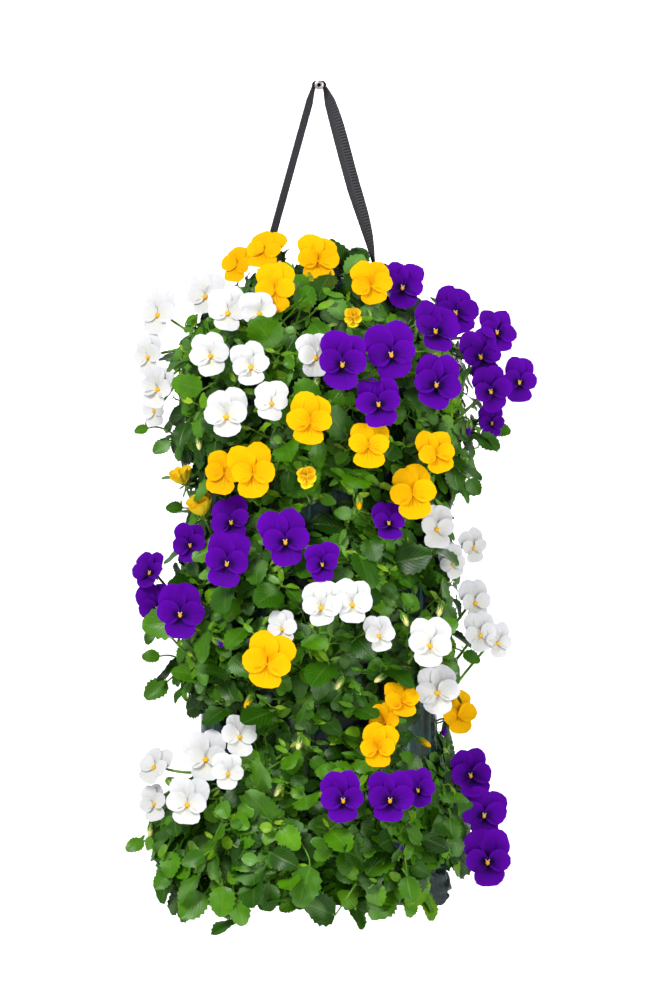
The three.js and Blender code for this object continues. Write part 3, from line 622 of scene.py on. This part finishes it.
def draws(seed):
    """Seeded draws between 0 and 1, the same ones that turn the solid blooms."""
    state, mask = seed, 0xFFFFFFFF
    while True:
        state = (state + 0x6D2B79F5) & mask
        t = ((state ^ (state >> 15)) * (1 | state)) & mask
        t = ((t + (((t ^ (t >> 7)) * (61 | t)) & mask)) & mask) ^ t
        yield ((t ^ (t >> 14)) & mask) / 2**32


def turned(axis, angle):
    """A turn round x or z, in degrees."""
    c, s = math.cos(math.radians(angle)), math.sin(math.radians(angle))
    if axis == "x":
        return np.array(((1, 0, 0), (0, c, -s), (0, s, c)))
    return np.array(((c, -s, 0), (s, c, 0), (0, 0, 1)))


def aimed(direction):
    """The turn that brings straight up into a direction."""
    ahead = unit(direction)
    aside = unit(np.cross((0, 1, 0.1), ahead))
    return np.stack([aside, np.cross(ahead, aside), ahead], axis=1)


# Petals, for a bloom 1 wide: direction in degrees from straight up, how far its round lobe
# is from the throat, the lobe's radius, its stretch across, its layer in front of the
# throat in mm, how far its edge leans forward, and which petal it is to the finish.
back_petal, side_petal, lower_petal = 0.0, 0.5, 1.0
petal_forms = [
    (-25, 0.375, 0.292, 1.0, -1.9, 0.03, back_petal),
    (25, 0.375, 0.292, 1.0, -2.6, 0.03, back_petal),
    (180, 0.262, 0.232, 1.42, -0.7, 0.08, lower_petal),
    (-77, 0.25, 0.238, 1.0, 0.1, 0.07, side_petal),
    (77, 0.25, 0.238, 1.0, 0.3, 0.07, side_petal),
]
throat = np.array((0, -0.11, 0))
petal_rows, petal_columns = 11, 15
petal_faces = two_faced(petal_rows, petal_columns)
r = np.linspace(0.02, 1, petal_rows)[:, None] ** 0.9
f = np.linspace(-1, 1, petal_columns)[None, :]


def petal(growth, form, size, place, chance, furl, tone):
    """One petal, a thin waved blade that rises towards its edge, the more so if furled."""
    direction, away, lobe, stretch, layer, lean, which = form
    direction = direction + 18 * (chance.random() - 0.5)
    grow = 1 + 0.16 * (chance.random() - 0.5)
    widest = math.asin(lobe / away) * 0.985
    angle = widest * np.sin(f * math.pi / 2)
    edge = away * np.cos(angle) + np.sqrt(np.maximum(lobe**2 - (away * np.sin(angle)) ** 2, 0))
    phase = 6.3 * chance.random(4)
    edge = edge * (1 + 0.028 * np.sin(7 * f + phase[0]) + 0.015 * np.sin(15 * f + phase[1]))
    if which == lower_petal:
        edge = edge * (1 - 0.06 * np.exp(-((f / 0.16) ** 2)))
    span = r * edge * size * grow
    ahead, aside = span * np.cos(angle), span * np.sin(angle) * stretch
    ruffle = 0.026 * np.sin(6.5 * f + phase[2]) + 0.013 * np.sin(13 * f + phase[3])
    rise = layer + size * (lean * r**2 + ruffle * r**3 - 0.03 * r**6 * (1 - furl))
    rise = rise + size * furl * 0.75 * r**1.5
    shrink = 1 - 0.55 * furl * r
    swing = math.radians(direction)
    x = (ahead * math.sin(swing) + aside * math.cos(swing)) * shrink
    y = (ahead * math.cos(swing) - aside * math.sin(swing)) * shrink
    local = np.stack([x, y, rise + 0 * x], -1) + throat * size
    half_open = furl > 0.3
    # Half-open blooms keep to the colours of the petal edge, away from the dark throat: painted
    # light in their cups.
    seen = 0.12 + 0.88 * r**0.5 if half_open else r
    part = 1.15 if half_open else which * 0.6 + 0.3 * tone
    marks = np.stack(np.broadcast_arrays(seen, f, part), -1)
    rotate, origin = place
    top = local @ rotate.T + origin
    growth.take(thin(top, rotate[:, 2], 0.45), petal_faces, thin_marks(marks), petal_kind)


def lance(growth, base, along, light, length, half, tone):
    """A narrow pointed leaf, such as a sepal."""
    along = unit(along)
    light = unit(light - along * (light @ along))
    aside = np.cross(light, along)
    s, t = np.linspace(0, 1, 6)[:, None], np.linspace(-1, 1, 3)[None, :]
    spread_out = (0.35 + 2.2 * s) * (1 - s) ** 0.8 + 0.03
    top = (base + (s * length + 0 * t)[..., None] * along
           + (t * spread_out * half)[..., None] * aside
           + (np.abs(t) * 0.3 * half - 0.15 * length * s**2)[..., None] * light)
    marks = np.stack(np.broadcast_arrays(s, t, tone), -1)
    growth.take(thin(top, light, 0.4), two_faced(6, 3), thin_marks(marks), sepal_kind)


def ball(centre, radii, rotate, rows=6, sides=8):
    """A small rounded body, such as the lip of a throat or a bud."""
    lat = np.linspace(0.12, math.pi - 0.12, rows)[:, None]
    lon = np.linspace(0, 2 * math.pi, sides, endpoint=False)[None, :]
    local = np.stack([np.sin(lat) * np.cos(lon) * radii[0], np.sin(lat) * np.sin(lon) * radii[1],
                      np.cos(lat) * radii[2] + 0 * lon], -1).reshape(-1, 3)
    return local @ rotate.T + centre, [one[::-1] for one in closed_faces(rows, sides)]


def sepals(growth, back, rotate, length, chance, ring=1.5, clasp=-0.3):
    """Five green sepals round the back of a bloom, or forward along a bud."""
    for k in range(5):
        turn = 2 * math.pi * (k / 5) + 0.3 * chance.random()
        spoke = rotate @ np.array((math.cos(turn), math.sin(turn), clasp))
        base = back + ring * rotate @ np.array((math.cos(turn), math.sin(turn), 0))
        lance(growth, base, spoke, base - back - rotate[:, 2] * 0.6, length, 2.2, 0.55)


def solid_stalk(corners, near, end, behind, stops=3):
    """The line of a solid stalk from the back of its bloom down to its root."""
    ring = list(np.argsort(norm(corners - end, axis=1))[:3])
    seen, line = set(ring), [end]
    for _ in range(stops):
        ring = {j for i in ring for j in near[i]} - seen
        ring = [j for j in ring if (corners[j] - line[-1]) @ behind > 2]
        if not ring:
            break
        seen |= set(ring)
        line.append(corners[ring].mean(axis=0))
        if len(line) > 2:
            behind = unit(line[-1] - line[-2])
    return line


# Pansy petals: velvety, matt, with a soft sheen at the edges and fine veins that fan out
# from the throat. The yellow ones have thin dark whiskers, the white ones a yellow eye, and
# the purple ones a throat that is nearly black.
petal_colours = {
    "yellow": [(0.0, "#8A5000"), (0.05, "#DE9600"), (0.3, "#ECAE00"), (1.0, "#F0B600")],
    "white": [(0.0, "#E58C00"), (0.12, "#F4B812"), (0.21, "#DAD9C8"), (1.0, "#DFDFE1")],
    "purple": [(0.0, "#0C0018"), (0.26, "#12002C"), (0.46, "#460184"), (1.0, "#5A019E")],
}
# Of each colour: its veins and how strong they are, its clouds, and how much sooner all but
# the lower petal reach the colour of their edge. Half-open blooms are painted a lighter lemon
# yellow, as painted light that lifts the shade inside their cups.
petal_details = {
    "yellow": ("#6E3A00", 0.8, "#EEA200", 0.13),
    "white": ("#B5B6AC", 0.3, "#CDCDD0", 0.13),
    "purple": ("#17003C", 0.8, "#440178", 0.03),
}
petal_finishes = {}
for colour, (vein, strength, tint, sooner) in petal_details.items():
    velvet, add = new_material(f"{colour}_pansy_petal")
    parts = marks_of(add, "petal")
    other = add("MapRange", [parts[2], 0.62, 0.55, 0, sooner])
    eyed = add("Math", [parts[0], other], operation="ADD")
    ground = add("ValToRGB", [eyed], petal_colours[colour])
    beats = add("Math", [parts[1], 34], operation="MULTIPLY")
    wave = add("Math", [beats], operation="SINE")
    lines = add("MapRange", [wave, 0.72, 1])
    near_eye = add("MapRange", [parts[0], 0.62, 0.3])
    lower = add("MapRange", [parts[2], 0.25, 0.6])
    whiskers = lines
    for factor in (near_eye, lower, strength):
        whiskers = add("Math", [whiskers, factor], operation="MULTIPLY")
    drawn = add("MixRGB", [whiskers, ground, vein])
    where = add("TexCoord", out="Object")
    cloud = add("TexNoise", {"Vector": where, "Scale": 60, "Detail": 3})
    shift = add("MapRange", [cloud, 0.45, 0.75, 0, 0.5])
    shaded = add("MixRGB", [shift, drawn, tint])
    # Painted light: half-open blooms lightened to lemon yellow.
    painted_cup_light = add("MapRange", [parts[2], 1, 1.1, 0, 0.92])
    shaded = add("MixRGB", [painted_cup_light, shaded, "#FFDE26"])
    grain = add("Math", [wave, cloud], operation="ADD")
    relief = add("Bump", {"Height": grain, "Strength": 0.18, "Distance": 0.0004})
    finish(velvet, {"Base Color": shaded, "Roughness": 0.62, "IOR": 1.4,
                    "Specular IOR Level": 0.05, "Sheen Weight": 0.04, "Normal": relief})
    petal_finishes[colour] = velvet

# The bearded lip of the throat: egg-yolk yellow, with pale tufts of hair beside it.
eye, add = new_material("bearded_throat")
coloured = add("ValToRGB", [marks_of(add, "petal")[2]], [
    (0.0, "#E08A00"), (0.4, "#F5B50A"), (0.55, "#E6E48F"), (0.8, "#E6E2D5")])
finish(eye, {"Base Color": coloured, "Roughness": 0.7})

# Stems and leaf stalks: smooth, juicy, paler and shinier than the leaves.
stem_green, add = new_material("living_viola_stem")
where = add("TexCoord", out="Object")
shade = add("TexNoise", {"Vector": where, "Scale": 45, "Detail": 3})
coloured = add("ValToRGB", [shade], [
    (0.3, "#3E6A14"), (0.55, "#64922A"), (0.75, "#94B24A")])
finish(stem_green, {"Base Color": coloured, "Roughness": 0.36, "IOR": 1.45,
                    "Specular IOR Level": 0.3})

neck_depth = 3.8
half_open_size = 28
width_shares = {"yellow": 0.98, "white": 1.03, "purple": 1.09}
eye_sizes = {"yellow": (0.02, 0.018), "white": (0.068, 0.056), "purple": (0.04, 0.055)}
clear = []
bud_shares = {}
for x, level, colour in buds:
    reachable = [(abs(a - x) + abs(b - level), name) for name, blooms in sprays
                 if name.startswith(colour) for a, b, *_ in blooms]
    bud_shares.setdefault(min(reachable)[1], []).append((x, level))

for number, (name, blooms) in enumerate(sprays):
    colour = name.split("_")[0]
    chance = np.random.default_rng(900 + number)
    random = draws(100 + number)
    growth = Growth(sepal_kind)
    corners, near = solid_points(f"blooms_{name}")
    for x, level, size, yaw, pitch, lift in blooms:
        roll = (next(random) - 0.5) * 24
        rotate = turned("z", yaw) @ turned("x", 90 - pitch) @ turned("z", roll)
        origin = np.array((x, reach_y(x, level) - lift, level))
        half_open = size <= half_open_size and colour == "yellow"
        if half_open:
            rotate = rotate @ turned("x", 22 if x > -100 else -50)
        furl = (0.36 if x > -100 else 0.5) if half_open else 0.12 * chance.random()
        tone = chance.random()
        width = size * (1.3 if half_open else width_shares[colour])
        clear.append((origin, rotate, width))
        for form in petal_forms:
            petal(growth, form, width, (rotate, origin), chance, furl, tone)
        back = origin - rotate[:, 2] * neck_depth
        heart = origin + rotate @ (throat * width)
        if not half_open:
            across, tall = eye_sizes[colour]
            lip = heart + rotate @ np.array((0, 0.005 * width, 1.2))
            growth.take(*ball(lip, (across * width, tall * width, 1.3), rotate),
                        (0, 0, 0.4 if colour == "white" else 0.2), eye_kind)
            for side in (-1, 1) if colour == "purple" else ():
                tuft = heart + rotate @ np.array((side * 0.03 * width, 0.055 * width, 1.4))
                growth.take(*ball(tuft, (0.011 * width, 0.02 * width, 0.9), rotate, 4, 6),
                            (0, 0, 0.8), eye_kind)
        sepals(growth, back - rotate[:, 2] * 0.6, rotate, 0.25 * width, chance)
        spur = [back + rotate @ np.array((0, share * width, depth))
                for share, depth in ((-0.07, 1), (-0.05, -3), (-0.02, -7))]
        growth.green(*tube(spur, (1.9, 1.6, 1.1), 6))
        line = solid_stalk(corners, near, back, -rotate[:, 2])
        while len(line) < 4:
            line.append(line[-1] * (0.85, 0.6, 1) + (0, centre_y * 0.4, -30))
        smooth = curve(line[0], line[1] * 1.5 - line[0] * 0.5, line[2], line[3], 14)
        growth.green(*tube(smooth, np.linspace(1.3, 1.6, 14), 6))
    for x, level in bud_shares.get(name, []):
        at = np.array((x, reach_y(x, level) + 12, level))
        tilt = 2 * (chance.random() - 0.5)
        rotate = aimed((math.sin(tilt), -0.35, -math.cos(tilt)))
        closed = ((0.5, 0, 0.55), eye_kind) if colour == "white" else ((0.7, 0, 0.3), petal_kind)
        growth.take(*ball(at, (3.1, 3.1, 7.5), rotate, 8, 8), *closed)
        foot = at - rotate[:, 2] * 6.5
        sepals(growth, foot, rotate, 9, chance, 2.3, 6)
        growth.green(*ball(foot, (2.9, 2.9, 2.6), rotate, 6, 8))
        inner = at * (0.8, 0.45, 1) + np.array((0, centre_y * 0.4, -34))
        hook = curve(foot, foot - rotate[:, 2] * 10 + (0, 0, 3), inner + (0, -20, 40), inner, 10)
        growth.green(*tube(hook, np.full(10, 1.1), 5))
    flowers = growth.piece(f"flowers_{name}", [petal_finishes[colour], eye, stem_green], "petal")
    settle(flowers, f"blooms_{name}")

# ---- Leafy growth ----
# The leafy stems of twenty viola plants, two in the mouth and one in each planting hole.
# Leaves are egg-shaped, blunt, with rounded teeth, folded a little along the midrib and
# arched; they stand on thin stalks along soft stems, the youngest in a tuft at the tip.
mouth_plants = [(np.array((x, centre_y - 8, -204)), np.array((0, 0, 1))) for x in (-26, 26)]
places = holes + mouth_plants
blade_rows, blade_columns = 13, 5
u = np.linspace(0, 1, blade_rows)[:, None] ** 0.94
v = np.linspace(-1, 1, blade_columns)[None, :]
teeth = np.where(np.arange(blade_rows) % 2 == 1, 1.1, 0.9)[:, None]
leaf_half = 0.05 + 0.34 * np.sin(math.pi * u**0.86) ** 0.62 * np.where(np.abs(v) > 0.9, teeth, 1)
leaf_half[-1] = 0.09
leaf_faces = two_faced(blade_rows, blade_columns)
young_leaves = 4


def leaf(growth, base, along, light, length, droop, tone, chance, breadth=1.0):
    """One leaf from its base along a direction, its upper side towards the light."""
    along = unit(along)
    light = unit(light - along * (light @ along))
    aside = np.cross(light, along)
    width = length * (0.92 + 0.22 * chance.random()) * breadth
    x = u * length + 0 * v
    y = v * leaf_half * width
    wave = 0.035 * length * np.sin(9 * u + 6 * chance.random()) * v**2
    z = np.abs(v) * leaf_half * width * (0.06 + 0.24 * chance.random()) + wave
    z = z - droop * u**2 * length
    sway = 0.12 * (chance.random() - 0.5) * length * u**2
    top = base + x[..., None] * along + (y + sway)[..., None] * aside + z[..., None] * light
    marks = np.stack(np.broadcast_arrays(u, v, tone), -1)
    growth.take(thin(top, light, 0.5), leaf_faces, thin_marks(marks), leaf_kind)


def solid_leaves(name):
    """Base, middle, direction, upper side and stem point of each leaf of a leafy solid."""
    corners, near = solid_points(name)
    middles = [i for i, others in enumerate(near) if len(others) == 9]
    found = []
    for i in middles:
        mates = [j for j in middles if i != j and norm(corners[i] - corners[j]) < 1.5]
        if not mates:
            continue
        up = corners[i] - corners[mates[0]]
        if up @ np.array((0, -0.3, 1)) < 0:
            continue
        ring = list(near[i])
        tip = max(ring, key=lambda j: norm(corners[j] - corners[i]))
        ahead = unit(corners[tip] - corners[i])
        foot = sorted(ring, key=lambda j: (corners[j] - corners[i]) @ ahead)[:2]
        base = corners[foot].mean(axis=0)
        behind = [j for k in foot for j in near[k] if j not in ring
                  and (corners[j] - base) @ ahead < -4 and (corners[j] - base) @ unit(up) < 60]
        bend_at = corners[behind].mean(axis=0) if behind else base - 20 * ahead
        found.append((base, corners[tip], unit(up), bend_at))
    return found


# Living leaves: satin, mid green with pale bluish patches on old ones, partly a waxy bloom and
# partly painted sheen, yellow-green on young ones, paler along the veins and below. Veins are
# 4 mm apart along the midrib.
green, add = new_material("living_viola_leaf")
parts = marks_of(add, "blade")
body = add("ValToRGB", [parts[2]], [
    (0.0, "#0A2200"), (0.3, "#2A5A02"), (0.6, "#549006"), (0.85, "#88B616"), (1.0, "#BAD63A")])
middle_line = add("Math", [parts[1]], operation="ABSOLUTE")
slant = add("Math", [middle_line, -0.55, parts[0]], operation="MULTIPLY_ADD")
beats = add("Math", [slant, 44], operation="MULTIPLY")
wave = add("Math", [beats], operation="SINE")
side_veins = add("MapRange", [wave, 0.8, 1])
midrib = add("MapRange", [middle_line, 0.12, 0.02])
veins = add("Math", [side_veins, midrib], operation="MAXIMUM")
faint = add("Math", [veins, 0.14], operation="MULTIPLY")
veined = add("MixRGB", [faint, body, "#8DB557"])
where = add("TexCoord", out="Object")
blotch = add("TexNoise", {"Vector": where, "Scale": 70, "Detail": 4})
deep = add("MapRange", [blotch, 0.35, 0.75, 0, 0.45])
mottled = add("MixRGB", [deep, veined, "#1C4806"])
# Pale bluish patches: partly waxy bloom, partly painted sheen.
patches = add("TexNoise", {"Vector": where, "Scale": 30, "Detail": 1})
waxy_bloom_and_sheen = add("MapRange", [patches, 0.55, 0.72, 0, 0.4])
mottled = add("MixRGB", [waxy_bloom_and_sheen, mottled, "#86B06A"])
relief = add("Bump", {"Height": veins, "Strength": 0.5, "Distance": 0.0006}, invert=True)
finish(green, {"Base Color": mottled, "Roughness": 0.31, "IOR": 1.45,
               "Specular IOR Level": 0.27, "Normal": relief})

# Where the film shows between the plants: left, right, low and high, seen from the front.
bare_patches = [(-150, -92, -700, -628), (100, 122, -672, -612), (112, 142, -826, -788)]
bloom_places = np.array([at for at, _, _ in clear])
bloom_turns = np.array([rotate for _, rotate, _ in clear])
bloom_sizes = np.array([size for _, _, size in clear])[:, None]


def in_the_way(base, tip):
    """Whether a leaf would stand in or before a bloom, or before a bare patch of film."""
    points = np.stack([base, (base + tip) / 2, tip])
    if any(a < x < b and c < z < d for a, b, c, d in bare_patches for x, _, z in points):
        return True
    offset = points[None, :, :] - bloom_places[:, None, :]
    own = np.einsum("bpi,bij->bpj", offset, bloom_turns)
    aside, along = np.hypot(own[..., 0], own[..., 1]), own[..., 2]
    inside = (aside < 0.6 * bloom_sizes) & (abs(along - 18) < 26)
    before = (np.hypot(offset[..., 0], offset[..., 2]) < 0.5 * bloom_sizes) & (offset[..., 1] < 5)
    return bool((inside | before).any())


def facing_at(tip):
    """The direction from the middle of the pouch out through a place in the foliage."""
    return unit(np.array((tip[0] / 150, (tip[1] - centre_y) / 150, 0.15)))


def shoot(growth, root, out, bent, tip, chance, leaves, sizes, tones):
    """A leafy stem from its root through a bend to its tip, with leaves down its last part."""
    facing = facing_at(tip)
    sun = unit(facing + (0, -0.55, 0.3))
    aside = unit(np.cross(facing, (0, 0, 1)) + 0.01)
    rise = np.cross(aside, facing)
    start = root - out * 6
    path = curve(start, root + out * 0.3 * norm(tip - root), bent, tip, 12)
    growth.green(*tube(path, np.linspace(1.6, 0.9, 12)))
    for k in range(leaves):
        young = k < young_leaves
        spin = 2.4 * k + chance.random()
        at = path[int(round(11 * (1 - 0.6 * (k / leaves) ** 0.9)))]
        size = (0.66 if young else 1) * (sizes[0] + (sizes[1] - sizes[0]) * chance.random() ** 1.4)
        narrow = 0.48 if young and sizes[1] < 35 and chance.random() < 0.7 else 1
        for _ in range(3):
            lean = aside * math.cos(spin) + rise * math.sin(spin)
            stalk = unit(lean + facing * (0.25 + 0.6 * chance.random()) + (0, 0, 0.2))
            base = at + stalk * (2 + 3 * chance.random() if young else 8 + 10 * chance.random())
            along = unit(stalk - sun * (stalk @ sun) * (0.4 + 0.5 * chance.random())
                         - (0, 0, 0.2 * chance.random()))
            if not in_the_way(base, base + along * size):
                break
            spin += 2.1
        else:
            continue
        sag = curve(at, at + stalk * 4, base - stalk * 3 + (0, 0, 1), base, 4)
        growth.green(*tube(sag, (0.9, 0.75, 0.7, 0.7), 4))
        light = sun + 0.75 * (chance.random(3) - 0.5)
        tone = tones[0] + (tones[1] - tones[0]) * chance.random()
        tone += 0.32 if narrow < 1 else 0.14 if young else 0
        leaf(growth, base, along, light, size, 0.08 + 0.3 * chance.random(), min(0.92, tone),
             chance, narrow)


# Shoots stand in three layers: a sunny outer one, a shaded one close to the film whose dark
# tones are painted shade, and one of large leaves that hang over its foot. Each layer: nearest
# and farthest share of the way from the film to the front of the foliage, steps down and round,
# leaves, sizes, tones, top level.
layers = [
    (0.5, 0.88, 25, 16, 10, (14, 28), (0.1, 0.66), -220),
    # The shaded layer's low tones are painted shade.
    (0.1, 0.4, 26, 15, 9, (20, 32), (0, 0.2), -207),
    (0.1, 0.75, 22, 14, 6, (30, 44), (0.1, 0.6), -772),
]
shoots = {f"leaves_{number + 1:02d}": [] for number in range(len(places))}


def nearest_plant(tip):
    """The node of the plant that a leaf at this place grows from."""
    cost = [norm(tip - at) + (30 if tip[2] < at[2] - 40 else 0) for at, _ in places]
    return f"leaves_{int(np.argmin(cost)) + 1:02d}"


chance = np.random.default_rng(11)
for least, most, level_step, turn_step, leaves, sizes, tones, highest in layers:
    for row in range(round((highest + 834) / level_step)):
        for column in range(-98, 99, turn_step):
            level = highest - level_step * (row + 0.7 * (chance.random() - 0.5))
            turn = math.radians(column + turn_step / 2 * (row % 2) + 12 * (chance.random() - 0.5))
            left, right, front = rows_at(reach, level)
            half, film_front, _ = rows_at(pouch_rows, level)
            full = least + (most - least) * chance.random()
            across = half + ((left if math.sin(turn) < 0 else right) - half) * full
            ahead = film_front + (front - film_front) * full
            y = min(centre_y - ahead * math.cos(turn), -14)
            tip = np.array((math.sin(turn) * across, y, level))
            if in_the_way(tip, tip):
                continue
            larger = 1.25 if level < -740 else 1
            shoots[nearest_plant(tip)].append((tip, leaves, np.array(sizes) * larger, tones))

# Leaves that stand out from the rest on long stalks, seen from the front: x, level, length,
# and heading in degrees from straight right.
outlying = [
    (-160, -574, 18, 180), (-153, -600, 27, 215), (-131, -620, 25, -12), (-100, -522, 24, 225),
    (-168, -548, 15, 250), (-137, -425, 17, 180), (-114, -812, 34, 222), (-97, -803, 31, 272),
    (-84, -816, 28, 292), (-114, -772, 25, 200), (-9, -783, 42, 255), (26, -767, 25, 270),
    (60, -800, 27, 255), (88, -793, 27, 280), (134, -383, 25, 285), (150, -396, 19, 305),
    (160, -352, 25, 325), (175, -345, 18, 350), (126, -523, 21, 300), (145, -570, 19, 330),
    (131, -735, 25, 278), (-20, -186, 24, 120), (4, -196, 26, 75), (26, -190, 26, 40),
    (-30, -214, 24, 200), (12, -214, 26, 300), (-140, -300, 18, 200), (-150, -358, 20, 215),
    (-176, -760, 20, 200), (-150, -790, 22, 230), (-50, -800, 28, 265), (-172, -345, 14, 190),
]
lone = {}
for x, level, length, heading in outlying:
    base = np.array((x, min(reach_y(x, level) + 14, -16), level))
    lone.setdefault(nearest_plant(base), []).append((base, length, math.radians(heading)))

for number, (at, out) in enumerate(places):
    name = f"leaves_{number + 1:02d}"
    chance = np.random.default_rng(500 + number)
    growth = Growth(stem_kind)
    growth.green(*tube([at - out * 16, at + out * 5], (5, 4), 9))
    root = at + out * 4
    for base, tip, up, bent in solid_leaves(name):
        if tip[2] > -200:
            continue
        length = norm(tip - base) * 1.02
        leaf(growth, base, tip - base, up, length, 0.12, 0.1 + 0.5 * chance.random(), chance)
        shoot(growth, root, out, bent, base, chance, 3, (14, 24), (0.1, 0.6))
    for tip, leaves, sizes, tones in shoots[name]:
        rise = (0, 0, 18 if number < len(holes) else 30)
        bent = tip - facing_at(tip) * 28 + rise * (chance.random(3) * 0.5 + 0.2) - (0, 0, 8)
        start = root + 4 * (chance.random(3) - 0.5)
        shoot(growth, start, out, bent, tip, chance, leaves, sizes, tones)
    for base, length, heading in lone.get(name, []):
        ahead = np.array((math.cos(heading), -0.2, math.sin(heading)))
        if in_the_way(base, base + ahead * length):
            continue
        tone = 0.3 + 0.35 * chance.random()
        leaf(growth, base, ahead, np.array((0, -1, 0.4)), length, 0.12, tone, chance)
        bent = base - 24 * unit(ahead + (0, -0.5, 0)) + (0, 0, 6)
        shoot(growth, root, out, bent, base, chance, 2, (9, 14), (0.3, 0.6))
    plant = growth.piece(f"plant_{number + 1:02d}", [green, stem_green], "blade")
    settle(plant, name)

# ---- Backdrop and light ----
# A pale floor that sweeps up to a low wall far behind, so that the planter can be seen from
# all round, and soft daylight from above and the left.
sweep_half = 9000
sweep_rows = [(-sweep_half, -1250), (7300, -1250), (7700, -1190), (7900, -1100), (8000, -950),
              (8000, 420)]
sweep_points = [(x, y, z) for y, z in sweep_rows for x in (-sweep_half, sweep_half)]
paint, _ = new_material("matt_white_paint")
finish(paint, {"Base Color": "#F8F8F8", "Roughness": 0.9})
sweep = build("backdrop", sweep_points, grid_faces(len(sweep_rows), 2).tolist(), [paint])

sky = bpy.data.worlds.new("daylight")
sky.use_nodes = True
sky.node_tree.nodes["Background"].inputs["Color"].default_value = linear("#F4F7FF")
sky.node_tree.nodes["Background"].inputs["Strength"].default_value = 0.35
bpy.context.scene.world = sky


def soft_light(name, location, aim, size, power):
    """A round soft light, sized in metres and with its power in watts."""
    light = new_object(name, bpy.data.lights.new(name, "AREA"))
    light.data.shape = "DISK"
    light.data.size = size
    light.data.energy = power
    light.location = location
    light.rotation_euler = (Vector(aim) - Vector(location)).to_track_quat("-Z", "Y").to_euler()


soft_light("key", (-1.6, -2.6, 1.6), (0, 0, -0.45), 1.6, 112)
soft_light("fill", (2.2, -2.4, 0.2), (0, 0, -0.5), 2.0, 52)
soft_light("behind", (0.6, 2.4, 0.9), (0, 0, -0.4), 1.6, 25)
soft_light("backdrop_wash", (0, 6.94, 1.6), (0, 7.94, -0.4), 2.5, 130)
bpy.context.scene.view_settings.view_transform = "Standard"
